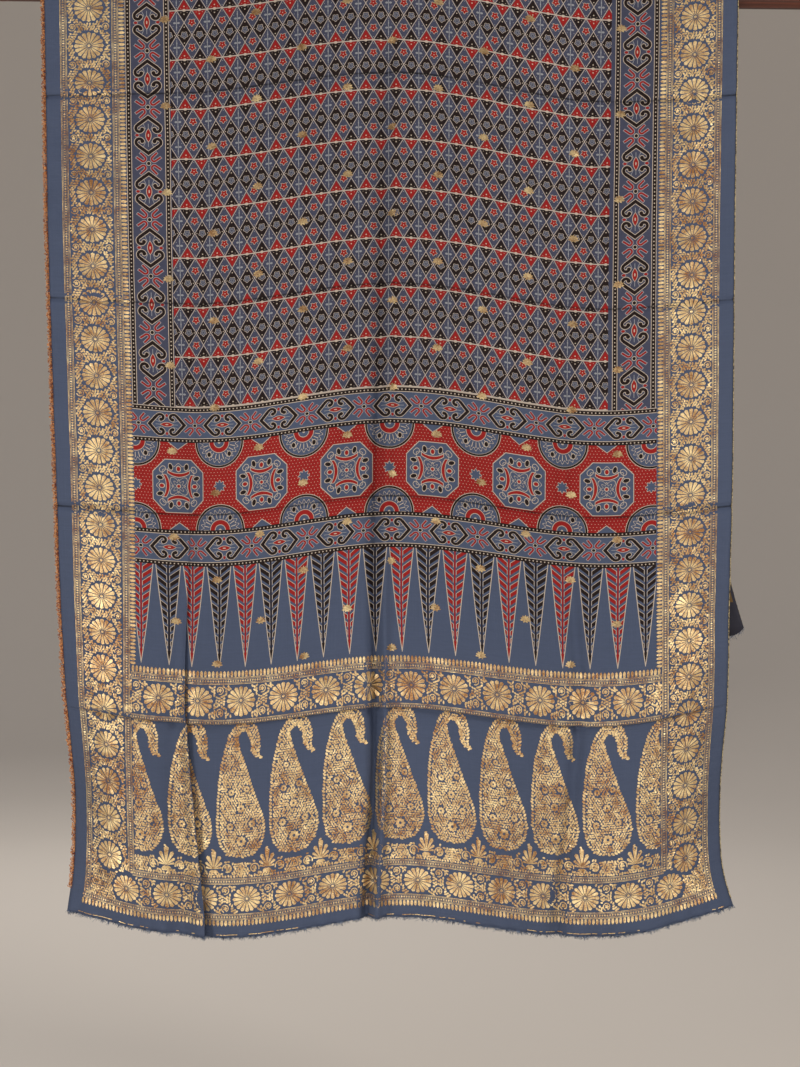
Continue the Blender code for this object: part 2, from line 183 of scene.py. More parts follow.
# The cloth just above the ledge hangs a little over it
LEDGE_OVERHANG = 0.0045
LEDGE_OVERHANG_STEPS = (-0.003, 0.001, 0.004, 0.030)
LEDGE_OVERHANG_SHARE = (0.0, 0.75, 1.0, 0.0)
LEDGE_STATIONS = (0.0, 0.10, 0.22, 0.90, 1.03, CLOTH_WIDTH)
LEDGE_STRENGTH = (0.15, 0.6, 1.0, 1.0, 0.6, 0.1)
# Creases left by storage: height, half width and depth
CREASES = ((0.681, 0.007, 0.0055), (1.026, 0.007, 0.0036), (1.368, 0.007, 0.0042))
HEM_RUFFLE = 0.0022
BACK_STAND_OFF = 0.036
BACK_CORNER_LIFT = 0.016
BACK_LEVELS = (0.0, 0.40, 0.75, 0.96, 1.055)
BACK_RIGHT_EDGE = (0.565, 0.562, 0.559, 0.565, 0.592)
BACK_LEFT_EDGE = (-0.563, -0.556, -0.550, -0.542, -0.540)
# Grid lines: a place and the number of steps from it to the next
COLUMN_STOPS = ((0.0, 20), (0.131, 14), (0.204, 37), (0.252, 5), (0.262, 30), (0.490, 26), (0.590, 30),
                (0.820, 21),
                (0.927, 12), (1.006, 20), (CLOTH_WIDTH, 0))
FRONT_STOPS = ((0.0, 4), (0.030, 11), (0.126, 21), (0.320, 2), (0.334, 2), (0.338, 8), (0.348, 2),
               (0.356, 7), (0.421, 17),
               (0.598, 7), (0.656, 2), (0.672, 6), (0.692, 12), (0.799, 7), (0.8583, 17), (1.016, 6),
               (1.036, 30), (1.358, 6), (1.378, 4), (1.421, 0))
NEAR_ROD_STEPS = 4
WRAP_STEPS = 12
BACK_STEPS = 38
RUMPLE_SEED = 11


def spaced(stops):
    """Grid lines at even steps from each stop to the next."""
    spans = [np.linspace(here[0], there[0], here[1], endpoint=False) for here,
             there in zip(stops, stops[1:])]
    return np.concatenate(spans + [[stops[-1][0]]])


def smooth_through(at, stations, values):
    """A cubic curve through the values, or through each column of a table of values; its slope at a station
    comes from the stations beside it."""
    stations, values = np.asarray(stations, float), np.asarray(values, float)
    slopes = np.gradient(values, stations, axis=0)
    i = np.clip(np.searchsorted(stations, at) - 1, 0, len(stations) - 2)
    span = stations[i + 1] - stations[i]
    t = np.clip((at - stations[i]) / span, 0.0, 1.0)
    if values.ndim == 1:
        low, high, low_slope, high_slope = values[i], values[i + 1], slopes[i], slopes[i + 1]
    else:
        low, high = np.take_along_axis(values, i, 0), np.take_along_axis(values, i + 1, 0)
        low_slope, high_slope = np.take_along_axis(slopes, i, 0), np.take_along_axis(slopes, i + 1, 0)
    return ((1 + 2 * t) * (1 - t) ** 2 * low + t * (1 - t) ** 2 * span * low_slope
            + t ** 2 * (3 - 2 * t) * high - t ** 2 * (1 - t) * span * high_slope)


def ease(value):
    """Smooth step from 0 at value 0 to 1 at value 1."""
    t = np.clip(value, 0.0, 1.0)
    return t * t * (3 - 2 * t)


def height_at_rod(across):
    """Flat height of the cloth where it reaches the height of the rod's axis."""
    along_x = smooth_through(across, WARP_STATIONS, WARP_SECTIONS[0][1])
    top_height, top_drop, sags = WEFT_ROWS[-1]
    return top_height + top_drop + smooth_through(across, SAG_STATIONS,
                                                  sags) - along_x * math.tan(ROD_SLOPE)


def folded(across, drop, folds):
    """Rise and sideways lean of the folds, each a bell exp(-(d / w)^2) across the cloth."""
    rise, lean = np.zeros_like(drop), np.zeros_like(drop)
    for half_width, tip, places, rises in folds:
        strength = smooth_through(drop, FOLD_LEVELS, rises) * ease(drop / FOLD_START)
        bell = np.exp(-((across - smooth_through(drop, FOLD_LEVELS, places)) / half_width) ** 2)
        rise += strength * bell
        lean += tip * bell * strength / np.abs(rises).max()
    return rise, lean


def tucked(across, drop):
    """Rise and sideways shift of the tuck. With d the distance from the middle of the turned-back part, the shift
    is -clip(d / h) fading to nothing at the tuck's reach, and the rise falls from the lip to a hollow beneath."""
    share = smooth_through(drop, FOLD_LEVELS, TUCK_SHARE)
    d = across - smooth_through(drop, FOLD_LEVELS, TUCK_PLACES)
    fade = np.maximum(1 - np.abs(d) / TUCK_REACH, 0.0)
    shift = -np.clip(d / TUCK_TURNED_BACK, -1.0, 1.0) * fade * TUCK_OVERLAP
    rise = (1 - ease((d / TUCK_TURNED_BACK + 1) / 2)) * fade ** 2 * TUCK_RISE
    rise -= ease(d / TUCK_TURNED_BACK + 1) * np.exp(-(np.maximum(d, 0.0) / 0.014) ** 2) * TUCK_HOLLOW
    return rise * share, shift * share


def rumples(across, walked):
    """Small unevenness of the cloth's face: a sum of sine waves in seeded directions, 35 to 160 mm long."""
    rng = np.random.default_rng(RUMPLE_SEED)
    total = np.zeros_like(walked)
    for length in np.geomspace(0.035, 0.16, 14):
        turn, start = rng.uniform(0, 2 * math.pi, 2)
        phase = (across * math.cos(turn) + walked * math.sin(turn)) * 2 * math.pi / length + start
        total += np.sin(phase + 1.3 * np.sin(walked * 19.0 + start)) * length * 0.0042
    return total


def front_fall(across, height):
    """Points of the front fall on a grid: drop from the weft rows, X from the warp sections, Y from the
    folds, the turned-back selvedges, the ledge and the creases."""
    heights = np.array([row[0] for row in WEFT_ROWS])
    drops = np.array([row[1] + smooth_through(across[0], SAG_STATIONS, row[2]) for row in WEFT_ROWS])
    k = np.clip(np.searchsorted(heights, height) - 1, 0, len(heights) - 2)
    share = (height - heights[k]) / (heights[k + 1] - heights[k])
    share = np.minimum(share, 1.0)
    drop = np.take_along_axis(drops, k, 0) * (1 - share) + np.take_along_axis(drops, k + 1, 0) * share
    drop -= np.maximum(height - heights[-1], 0.0)
    ledge = np.interp(across, LEDGE_STATIONS, LEDGE_STRENGTH)
    rise, lean = (fold + tuck for fold, tuck in zip(folded(across, drop, FRONT_FOLDS),
                                                    tucked(across, drop)))
    left = np.clip(1 - across / CURL_WIDTH, 0.0, 1.0) ** 1.6 * smooth_through(drop, CURL_LEVELS, LEFT_CURL)
    right = (np.clip(1 - (CLOTH_WIDTH - across) / CURL_WIDTH, 0.0, 1.0) ** 1.6
             * smooth_through(drop, CURL_LEVELS, RIGHT_CURL))
    rise += ledge * np.interp(height - LEDGE_HEIGHT, LEDGE_STEPS, LEDGE_RISE)
    over_ledge = np.interp(height - LEDGE_HEIGHT, LEDGE_OVERHANG_STEPS, LEDGE_OVERHANG_SHARE)
    for level, half_width, depth in CREASES:
        rise -= depth * np.clip(1 - np.abs(height - level) / half_width, 0.0, 1.0)
    rise += rumples(across, height) * ease(drop / 0.2)
    rise += HEM_RUFFLE * np.sin(across * 147.0 + 2.2 * np.sin(across * 41.0)) * ease(1 - height / 0.03)
    sections = np.array([smooth_through(across[0], WARP_STATIONS, section[1]) for section in WARP_SECTIONS])
    x = smooth_through(drop, [section[0] for section in WARP_SECTIONS], sections)
    return np.stack((x + lean, -WRAP_RADIUS - rise + left + right,
                     -drop - ledge * LEDGE_OVERHANG * over_ledge), -1)


def back_fall(across, walked, share):
    """Points of the fall behind on a grid, at shares of its length."""
    along_x = smooth_through(across, WARP_STATIONS, WARP_SECTIONS[0][1])
    rod = -along_x * math.tan(ROD_SLOPE)
    length = CLOTH_LENGTH - height_at_rod(across) - math.pi * WRAP_RADIUS
    drop = share * length - rod * (1 - share)
    drop -= BACK_CORNER_LIFT * ease((share - 0.94) / 0.06) * np.clip((across - CLOTH_WIDTH + 0.03) / 0.03, 0.0, 1.0) ** 2
    rise, lean = folded(across, drop, BACK_FOLDS)
    left = smooth_through(drop, BACK_LEVELS, BACK_LEFT_EDGE) - along_x[0, 0]
    right = smooth_through(drop, BACK_LEVELS, BACK_RIGHT_EDGE) - along_x[0, -1]
    beside = across / CLOTH_WIDTH
    x = along_x + lean + left * (1 - beside) ** 3 + right * beside ** 3
    y = WRAP_RADIUS + BACK_STAND_OFF * ease(drop / 0.8) + rise + rumples(across, walked) * ease(drop / 0.2)
    return np.stack((x, y, -drop), -1)


columns = spaced(COLUMN_STOPS)
front_rows = spaced(FRONT_STOPS)
rod_reach = height_at_rod(columns)
near_rod = front_rows[-1] + np.outer(np.arange(1, NEAR_ROD_STEPS + 1) / NEAR_ROD_STEPS,
                                     rod_reach - front_rows[-1])
turns = np.arange(1, WRAP_STEPS + 1)[:, None] / WRAP_STEPS * math.pi
over_rod = rod_reach + turns * WRAP_RADIUS
shares = np.arange(1, BACK_STEPS + 1)[:, None] / BACK_STEPS
behind = over_rod[-1] + shares * (CLOTH_LENGTH - over_rod[-1])
front_walk = np.vstack((np.repeat(front_rows[:, None], len(columns), 1), near_rod))
cloth_walk = np.vstack((front_walk, over_rod, behind))
cloth_across = np.broadcast_to(columns, cloth_walk.shape)
rod_x = smooth_through(cloth_across[:WRAP_STEPS], WARP_STATIONS, WARP_SECTIONS[0][1])
cloth_points = np.vstack((
    front_fall(np.broadcast_to(columns, front_walk.shape), front_walk),
    np.stack((rod_x, np.broadcast_to(-WRAP_RADIUS * np.cos(turns), rod_x.shape),
              -rod_x * math.tan(ROD_SLOPE) + WRAP_RADIUS * np.sin(turns)), -1),
    back_fall(np.broadcast_to(columns, behind.shape), behind, np.broadcast_to(shares, behind.shape)),
))
cloth_face = np.cross(np.gradient(cloth_points, axis=1), np.gradient(cloth_points, axis=0))
cloth_face /= np.linalg.norm(cloth_face, axis=-1, keepdims=True)


def grid_faces(down, over):
    """Corner numbers of the quads of a grid with down x over points."""
    i, j = np.meshgrid(np.arange(down - 1), np.arange(over - 1), indexing="ij")
    first = (i * over + j).reshape(-1)
    return np.stack((first, first + 1, first + over + 1, first + over), -1)


def new_piece(name, points, faces, *materials):
    """An object on body root from points and faces; its materials are given in order."""
    mesh = bpy.data.meshes.new(name)
    mesh.from_pydata(np.asarray(points).reshape(-1, 3).tolist(), [], faces)
    mesh.shade_smooth()
    for material in materials:
        mesh.materials.append(material)
    obj = bpy.data.objects.new(name, mesh)
    bpy.context.collection.objects.link(obj)
    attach(obj, "root")
    return obj


# Printed faces of the cloth. Each region of the cloth is stamped with its own block, so each has its own
# material; all are dyed in the same vats. A reading is a number at a point of the cloth, and arithmetic on
# readings places Math nodes. All block sizes are in millimetres.
class Reading:
    """A number that varies over the cloth."""

    def __init__(self, tree, socket):
        self.tree, self.socket = tree, socket

    def worked(self, operation, *others):
        node = self.tree.nodes.new("ShaderNodeMath")
        node.operation = operation
        for place, value in enumerate((self, *others)):
            if isinstance(value, Reading):
                self.tree.links.new(value.socket, node.inputs[place])
            else:
                node.inputs[place].default_value = value
        return Reading(self.tree, node.outputs[0])

    def __add__(self, other):
        return self.worked("ADD", other)

    def __sub__(self, other):
        return self.worked("SUBTRACT", other)

    def __rsub__(self, other):
        return (self * -1.0) + other

    def __mul__(self, other):
        return self.worked("MULTIPLY", other)

    def __truediv__(self, other):
        return self.worked("DIVIDE", other)

    def __mod__(self, other):
        return self.worked("FLOORED_MODULO", other)

    def __pow__(self, other):
        return self.worked("POWER", other)

    def __abs__(self):
        return self.worked("ABSOLUTE")

    def __lt__(self, other):
        return self.worked("LESS_THAN", other)

    def __gt__(self, other):
        return self.worked("GREATER_THAN", other)

    def __and__(self, other):
        return self.worked("MULTIPLY", other)

    def __or__(self, other):
        return self.worked("MAXIMUM", other)

    __radd__, __rmul__ = __add__, __mul__

    def rounded(self):
        return self.worked("ROUND")

    def mirrored(self, first, pitch):
        """Distance to the nearest of a row of places that starts at first."""
        return (self - first).worked("PINGPONG", pitch / 2)

    def numbered(self, first, pitch):
        """Number of the nearest place in that row."""
        return ((self - first) / pitch).rounded()


def away(x, y, at_x=0.0, at_y=0.0):
    """Distance of (x, y) from a point."""
    dx, dy = x - at_x, y - at_y
    return (dx * dx + dy * dy).worked("SQRT")


def lobed(x, y, radius, depth, lobes, start=0.0):
    """Distance of (x, y) inside a rosette of lobes: positive within radius + depth cos(lobes x angle)."""
    angle = y.worked("ARCTAN2", x)
    return ((angle * lobes + start).worked("COSINE") * depth + radius) - away(x, y)


def screen(code):
    """A colour given as it looks on a screen, six hexadecimal digits, in linear light."""
    parts = [int(code[k:k + 2], 16) / 255 for k in (0, 2, 4)]
    return tuple(p / 12.92 if p <= 0.04045 else ((p + 0.055) / 1.055) ** 2.4 for p in parts) + (1.0,)


INDIGO = screen("475168")
FIELD_INDIGO = screen("404356")
MADDER = screen("8c1c1a")
IRON = screen("1f1513")
CREAM = screen("b4a799")
PALE = screen("8b8d92")


def over(tree, below, colour, mask):
    """A colour printed over what is below it, where the mask is 1."""
    node = tree.nodes.new("ShaderNodeMix")
    node.data_type = "RGBA"
    tree.links.new(mask.socket, node.inputs["Factor"])
    for value, socket in ((below, node.inputs["A"]), (colour, node.inputs["B"])):
        if isinstance(value, tuple):
            socket.default_value = value
        else:
            tree.links.new(value, socket)
    return node.outputs["Result"]


def stamped(tree, colours, ground=INDIGO):
    """Lays (mask, colour) pairs over the indigo ground, in order."""
    result = ground
    for mask, colour in colours:
        result = over(tree, result, colour, mask)
    return result


DOT_PITCH = 6.3


def dotted_line(offset, along):
    """The printed dark line with cream dots between two cream lines; offset is the distance from its middle."""
    dot = away(offset, along.mirrored(0.0, DOT_PITCH))
    return [(offset < 4.3, CREAM), (offset < 3.2, IRON), (dot < 1.15, CREAM)]


def hook_block(along, aside, pitch):
    """The hook border: aside is the distance from its midline. A red lens lies between two black chevrons
    with curled ends; between repeats four red tongues cross round a black dot."""
    s, t = along.mirrored(0.0, pitch), aside
    x = pitch / 2 - s
    lens = 1 - (s / 10.6) ** 2
    chevron = abs(s + t * 0.74 - 29.5) * 0.80
    arm = t < 18.5
    ring = abs(away(s, t, 11.5, 14.4) - 5.6)
    open_side = (s < 10.5) | (t > 17.0)
    bulb = away(s, t, 9.6, 9.8)
    out = x * 0.64 + t * 0.77 - 11.6
    tongue = abs(away(out.worked("MINIMUM", 0.0), abs(t * 0.64 - x * 0.77) - out.worked("MAXIMUM",
                                                                                        0.0) * 0.09) - 4.0)
    dot = away(x, t)
    ray = ((t < 0.5) & (s < 20.5)) | (abs(t - s * 0.42) < 0.5)
    beside = away(s * 1.35, t, 0.0, 18.0)
    return [
        (ray & (s > 10.0) & (s < 19.0), PALE),
        (((chevron < 3.6) & arm) | ((ring < 3.4) & open_side) | (bulb < 4.2), CREAM),
        (((chevron < 2.6) & arm) | ((ring < 2.4) & open_side) | (bulb < 3.2), IRON),
        (t < lens * 4.0 + 1.0, CREAM), (t < lens * 4.0, MADDER), (away(s * 0.4, t) < 1.1, CREAM),
        ((tongue < 2.5) & (out < 11.0), PALE), ((tongue < 1.5) & (out < 10.0), MADDER),
        (dot < 3.9, CREAM), (dot < 2.8, IRON),
        (beside < 4.0, PALE), (beside < 3.0, MADDER),
    ]


LATTICE_WIDTH = 24.8
LATTICE_HEIGHT = 40.1
FIELD_LEFT = 203.0
FIELD_FOOT = 859.0


def field_block(tree, across, walked):
    """The field's lattice of diamonds. Rows of split diamonds, flowers, black diamonds and flowers repeat."""
    a, b = (across - FIELD_LEFT) / LATTICE_WIDTH, (walked - FIELD_FOOT) / LATTICE_HEIGHT
    s, t = a + b, a - b
    m, n = s.rounded(), t.rounded()
    ds, dt = s - m, t - n
    p, q = (ds + dt) * (LATTICE_WIDTH / 2), (ds - dt) * (LATTICE_HEIGHT / 2)
    inset = 0.5 - abs(ds).worked("MAXIMUM", abs(dt))
    row = (m - n) % 4.0
    column = ((m + n) / 2).worked("FLOOR") % 2.0
    split, black = row < 0.5, abs(row - 2.0) < 0.5
    between = (row % 2.0) > 0.5
    red = abs(column - (q < 0.0))
    side, rise = abs(p), abs(q)
    notched = (away(side, rise, 8.1, 11.3) < 2.9) | (away(side * 0.8, rise) < 2.2)
    triangle = split & (inset > 0.062) & (rise > 1.2)
    marks = (away(side, rise, 0.0, 6.4) < 1.1) | (away(side, rise, 5.2, 3.6) < 0.5)
    ring = lobed(p, q, 5.4, 0.8, 5, math.pi / 2)
    heart = abs(lobed(p, q, 2.5, 0.9, 5, math.pi / 2)) < 0.4
    corners = (away(side, rise, 0.0, 12.8) < 1.0) | (away(side, rise, 8.9, 0.0) < 0.8)
    flower = lobed(p, q, 5.1, 1.1, 5, math.pi / 2)
    flowered, crossed = between & (column > 0.5), between & (column < 0.5)
    cross = ((away(side * 1.3, rise * 0.5, 0.0, 3.6) < 1.2) | (away(side * 0.7, rise, 2.2, 0.0) < 1.6)
             | ((side < 0.55) & (rise < 12.5)))
    specks = (away(side, rise, 0.0, 14.8) < 0.7) | (away(side, rise, 5.6, 5.4) < 0.6)
    return stamped(tree, [
        (triangle, IRON), (triangle & red, MADDER), (split & notched, CREAM), (triangle & marks, CREAM),
        (black & (inset > 0.048), IRON), (black & corners, CREAM),
        (black & (ring > -0.2), CREAM), (black & (ring > 0.5), FIELD_INDIGO), (black & heart, PALE),
        (flowered & (flower > -0.5), CREAM), (flowered & (flower > 0.35), MADDER),
        (flowered & (away(p, q) < 0.9), CREAM),
        (crossed & cross, PALE), (between & specks, PALE),
        ((inset < 0.022) | (split & (rise < 0.8)), CREAM),
    ], FIELD_INDIGO)


SIDE_PITCH = 92.0
SIDE_LENS = 1391.3
RIGHT_SIDE_SHIFT = 57.0
SIDE_MIDLINES = (167.1, 969.0)
SIDE_HALF = 31.2
BAND_PITCH = 95.6
BAND_MIDLINES = (627.0, 828.0)
BAND_HALF = 25.8


def side_block(tree, across, walked):
    """The hook border beside the field, between two dotted lines."""
    aside = abs(across - SIDE_MIDLINES[0]).worked("MINIMUM", abs(across - SIDE_MIDLINES[1]))
    along = walked - SIDE_LENS - (across > 567.0) * RIGHT_SIDE_SHIFT
    return stamped(tree, hook_block(along, aside, SIDE_PITCH)
                   + dotted_line(abs(aside - SIDE_HALF), walked), FIELD_INDIGO)


def band_block(tree, across, walked):
    """The hook border across the cloth, between two dotted lines."""
    aside = abs(walked - BAND_MIDLINES[0]).worked("MINIMUM", abs(walked - BAND_MIDLINES[1]))
    return stamped(tree, hook_block(across - 188.0, aside * (SIDE_HALF / BAND_HALF), BAND_PITCH)
                   + dotted_line(abs(aside - BAND_HALF), across))


MEDALLION_PITCH = 144.0
MEDALLION_FIRST = 205.7
MEDALLION_MIDDLE = 727.5
MEDALLION_HALF = 71.5


def medallion_block(tree, across, walked):
    """Blue octagons on a dotted red ground, with half roundels on both edges and small stars between."""
    x, y = across.mirrored(MEDALLION_FIRST, MEDALLION_PITCH), abs(walked - MEDALLION_MIDDLE)
    step = (walked / 5.0).rounded()
    speck = away((across + (step % 2.0) * 2.8).mirrored(0.0, 5.6), walked.mirrored(0.0, 5.0))
    a, b = x.worked("MAXIMUM", y), x.worked("MINIMUM", y)
    octagon = (a / 44.0).worked("MAXIMUM", (x + y) / 67.0)
    crescent = abs(away(a, b, 49.0, 0.0) - 31.2) + b * 0.05
    bud = away(a * 0.8, b, 22.6, 0.0)
    leaf = away(a * 0.9 + b * 0.45, (b - a * 0.35) * 1.5, 34.2, 3.2)
    fine = (abs(lobed(x, y, 13.5, 5.0, 4, math.pi)) < 0.5) | (abs(lobed(x, y, 8.5, 2.6, 8)) < 0.5) \
        | (abs(lobed(x, y, 35.0, 2.2, 16)) < 0.45) | (abs(away(a, b, 28.0, 26.0) - 4.2) < 0.5)
    far_x, far_y = MEDALLION_PITCH / 2 - x, MEDALLION_HALF - y
    r = away(far_x, far_y)
    fan = (abs(lobed(far_x, far_y, 30.5, 2.6, 24)) < 0.6) | (
        ((far_y.worked("ARCTAN2", far_x) * 24.0).worked("COSINE") > 0.82) & (r > 19.0) & (r < 28.0))
    eye = away(far_x * 1.25, far_y, 21.5, 19.5)
    star = (lobed(far_x, y, 7.6, 1.6, 8)).worked("MAXIMUM", (1 - x / 15.0 - far_y / 11.0) * 9.0)
    inside = octagon < 0.972
    return stamped(tree, [
        (octagon > 0.0, MADDER), (speck < 0.62, CREAM),
        (star > -1.1, CREAM), (star > 0.0, INDIGO),
        (octagon < 1.0, CREAM), (inside, INDIGO), (inside & fine, CREAM),
        (inside & (leaf < 6.4), CREAM), (inside & (leaf < 5.0), IRON),
        ((crescent < 3.7) & (b < 19.0) & (a < 30.0), CREAM),
        ((crescent < 2.6) & (b < 18.0) & (a < 30.0), MADDER),
        (bud < 4.2, CREAM), (bud < 3.0, MADDER), (away(x, y) < 3.9, CREAM), (away(x, y) < 2.5, MADDER),
        (r < 42.0, CREAM), (r < 41.0, IRON), (r < 38.0, CREAM), (r < 37.5, INDIGO),
        ((r < 37.5) & fan, CREAM),
        (eye < 5.0, CREAM), (eye < 3.8, IRON),
        (r < 17.4, CREAM), (r < 16.4, MADDER), (r < 9.2, CREAM), (r < 8.2, INDIGO), (r < 2.2, CREAM),
    ])


SPEAR_PITCH = 44.7
SPEAR_FIRST = 140.1
SPEAR_TIP = 429.0
SPEAR_TOP = 598.0


def spear_block(tree, across, walked):
    """Pointed feathers that hang from the lower band, alternately red and black, on plain blue."""
    x, grown = across.mirrored(SPEAR_FIRST, SPEAR_PITCH), (walked - SPEAR_TIP) / (SPEAR_TOP - SPEAR_TIP)
    edge = (grown.worked("MAXIMUM", 0.0) ** 0.88) * 20.5 - x
    bar = ((walked - x * 0.75) / 12.4) % 1.0
    black = (across.numbered(SPEAR_FIRST, SPEAR_PITCH) % 2.0) > 0.5
    inside = (edge > 1.1) & (grown > 0.0)
    dyed = ((bar < 0.56) & (x > 2.9)) | (x < 1.3) | (grown < 0.14)
    return stamped(tree, [
        ((edge > -0.3) & (grown > 0.0), CREAM), (inside, INDIGO),
        (inside & (abs(bar - 0.28) < 0.36) & (x > 2.0), CREAM),
        (inside & dyed, MADDER), (inside & dyed & black, IRON),
    ])


def plain_block(tree, across, walked):
    return INDIGO


# Half width of the painted shade along each storage crease, in metres.
CREASE_SHADE_WIDTH = 0.0026


def cloth_effects():
    """Shared node group: dye that took unevenly, fine streaks of the yarn, painted shade in a thin line along each
    storage crease, and the weave's height.
    """
    group = bpy.data.node_groups.new("Dye, weave and crease shade", "ShaderNodeTree")
    for name, way, kind in (("Colour", "INPUT", "Color"), ("Place", "INPUT", "Vector"),
                            ("Colour", "OUTPUT", "Color"), ("Height", "OUTPUT", "Float"),
                            ("Roughness", "OUTPUT", "Float")):
        group.interface.new_socket(name, in_out=way, socket_type="NodeSocket" + kind)
    taken, given = group.nodes.new("NodeGroupInput"), group.nodes.new("NodeGroupOutput")

    def noise(scales, detail):
        mapping, node = group.nodes.new("ShaderNodeMapping"), group.nodes.new("ShaderNodeTexNoise")
        mapping.inputs["Scale"].default_value = scales
        node.inputs["Scale"].default_value = 1.0
        node.inputs["Detail"].default_value = detail
        group.links.new(taken.outputs["Place"], mapping.inputs["Vector"])
        group.links.new(mapping.outputs["Vector"], node.inputs["Vector"])
        return Reading(group, node.outputs[0])

    cloud = noise((3.2, 2.4, 1.0), 3.0)
    weft = noise((30.0, 900.0, 1.0), 2.0)
    warp = noise((1100.0, 24.0, 1.0), 2.0)
    crumple = noise((40.0, 150.0, 1.0), 2.5)
    place = group.nodes.new("ShaderNodeSeparateXYZ")
    group.links.new(taken.outputs["Place"], place.inputs[0])
    walked = Reading(group, place.outputs["Y"]) * CLOTH_LENGTH
    # Painted shade: the colour is darkened, unevenly, in a thin line along each storage crease.
    crease_shade = (1 - abs(walked - CREASES[0][0]) / CREASE_SHADE_WIDTH).worked("MAXIMUM", 0.0)
    for level, *_ in CREASES[1:]:
        crease_shade = crease_shade.worked("MAXIMUM", 1 - abs(walked - level) / CREASE_SHADE_WIDTH)
    tone_and_crease_shade = (0.62 + cloud * 0.42 + weft * 0.20 + warp * 0.16) * (1 - crease_shade * (crumple * 1.5 - 0.1))
    tinted = group.nodes.new("ShaderNodeVectorMath")
    tinted.operation = "SCALE"
    group.links.new(taken.outputs["Colour"], tinted.inputs[0])
    group.links.new(tone_and_crease_shade.socket, tinted.inputs["Scale"])
    group.links.new(tinted.outputs[0], given.inputs["Colour"])
    group.links.new((weft + warp + crumple * 3.0).socket, given.inputs["Height"])
    group.links.new((0.62 + weft * 0.2).socket, given.inputs["Roughness"])
    return group


dye_weave_and_crease_shade = cloth_effects()


def dyed_material(name, block):
    """A cloth material: the block's colours at the cloth's own flat places, through the shared dye, weave and painted
    crease shade.
    """
    material = bpy.data.materials.new(name)
    material.use_nodes = True
    tree = material.node_tree
    shader = tree.nodes["Principled BSDF"]
    flat = tree.nodes.new("ShaderNodeUVMap")
    flat.uv_map = "laid_flat"
    parts = tree.nodes.new("ShaderNodeSeparateXYZ")
    tree.links.new(flat.outputs["UV"], parts.inputs[0])
    across = Reading(tree, parts.outputs["X"]) * (CLOTH_WIDTH * 1000)
    walked = Reading(tree, parts.outputs["Y"]) * (CLOTH_LENGTH * 1000)
    effects = tree.nodes.new("ShaderNodeGroup")
    effects.node_tree = dye_weave_and_crease_shade
    colour = block(tree, across, walked)
    if isinstance(colour, tuple):
        effects.inputs["Colour"].default_value = colour
    else:
        tree.links.new(colour, effects.inputs["Colour"])
    tree.links.new(flat.outputs["UV"], effects.inputs["Place"])
    bump = tree.nodes.new("ShaderNodeBump")
    bump.inputs["Strength"].default_value = 0.5
    bump.inputs["Distance"].default_value = 0.0005
    tree.links.new(effects.outputs["Height"], bump.inputs["Height"])
    tree.links.new(bump.outputs["Normal"], shader.inputs["Normal"])
    tree.links.new(effects.outputs["Colour"], shader.inputs["Base Color"])
    tree.links.new(effects.outputs["Roughness"], shader.inputs["Roughness"])
    shader.inputs["Sheen Weight"].default_value = 0.04
    shader.inputs["Sheen Roughness"].default_value = 0.4
    shader.inputs["Specular IOR Level"].default_value = 0.14
    return material


GOLD_FLOATS = screen("6b5433")


def reverse_block(tree, across, walked):
    """The reverse: floats of gold thread behind all the woven work, with the flowers darker, and the print
    faint on the blue."""
    from_edge = across.worked("MINIMUM", (CLOTH_WIDTH * 1000) - across)
    woven = (from_edge < 131.0) | (walked < 118.0) | (abs(walked - 381.5) < 39.5)
    patterned = (walked > 27.0) & (walked < PATTERN_END * 1000) & (from_edge > 5.0)
    x, above_foot = across.mirrored(133.0, 88.3), (walked - 126.0).worked("MAXIMUM", 0.0)
    cone = (x < (above_foot ** 0.5) * 6.2) & (x < (345.0 - walked) * 0.27) & (x < 39.0)
    flower = ((lobed(from_edge - 73.5, walked.mirrored(45.0, 61.0), 20.0, 3.0, 14) > 0.0) & (walked > 90.0)
              | (lobed(across.mirrored(106.0, 71.1), walked - 60.5, 19.0, 3.0, 14) > 0.0)
              | (lobed(across.mirrored(168.0, 72.1), walked - 376.5, 20.0, 3.0,
                       14) > 0.0) & (from_edge > 140.0))
    colour = screen("323e50")
    for mask, there in ((walked > 860.0, screen("31313b")), (abs(walked - 727.5) < 71.5, screen("4b2f34")),
                        ((woven | cone) & patterned, GOLD_FLOATS),
                        (woven & patterned & flower, screen("453d36"))):
        colour = over(tree, colour, there, mask)
    return colour


BLOCKS = (("Plain indigo ground", plain_block), ("Field of diamonds", field_block),
          ("Side hook border", side_block), ("Hook band", band_block), ("Medallion band", medallion_block),
          ("Row of spears", spear_block), ("Reverse of the cloth", reverse_block))
across_middle, walk_middle = (0.25 * (grid[:-1, :-1] + grid[1:, :-1] + grid[:-1, 1:] + grid[1:, 1:])
                              for grid in (cloth_across, cloth_walk))
printed = (across_middle > 0.131) & (across_middle < 1.006) & (walk_middle > 0.421) & (walk_middle < PATTERN_END)
block_number = np.select(
    [~printed, walk_middle < 0.598, walk_middle < 0.656, walk_middle < 0.799, walk_middle < 0.8583,
     (across_middle > 0.203) & (across_middle < 0.927)], [0, 5, 3, 4, 3, 1], 2).reshape(-1)
cloth = new_piece("cloth_sheet", cloth_points, grid_faces(*cloth_walk.shape).tolist(),
                  *(dyed_material(name, block) for name, block in BLOCKS))
cloth.data.polygons.foreach_set("material_index", block_number.astype(np.int32))
flat_map = cloth.data.uv_layers.new(name="laid_flat")
corners = np.empty(len(cloth.data.loops), np.int32)
cloth.data.loops.foreach_get("vertex_index", corners)
flat_places = np.stack((cloth_across / CLOTH_WIDTH, cloth_walk / CLOTH_LENGTH), -1).reshape(-1, 2)
flat_map.data.foreach_set("uv", flat_places[corners].astype(np.float32).reshape(-1))
solid = cloth.modifiers.new("Thickness", "SOLIDIFY")
solid.thickness, solid.offset = CLOTH_THICKNESS, -1.0
solid.material_offset = len(BLOCKS) - 1
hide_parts("cloth")

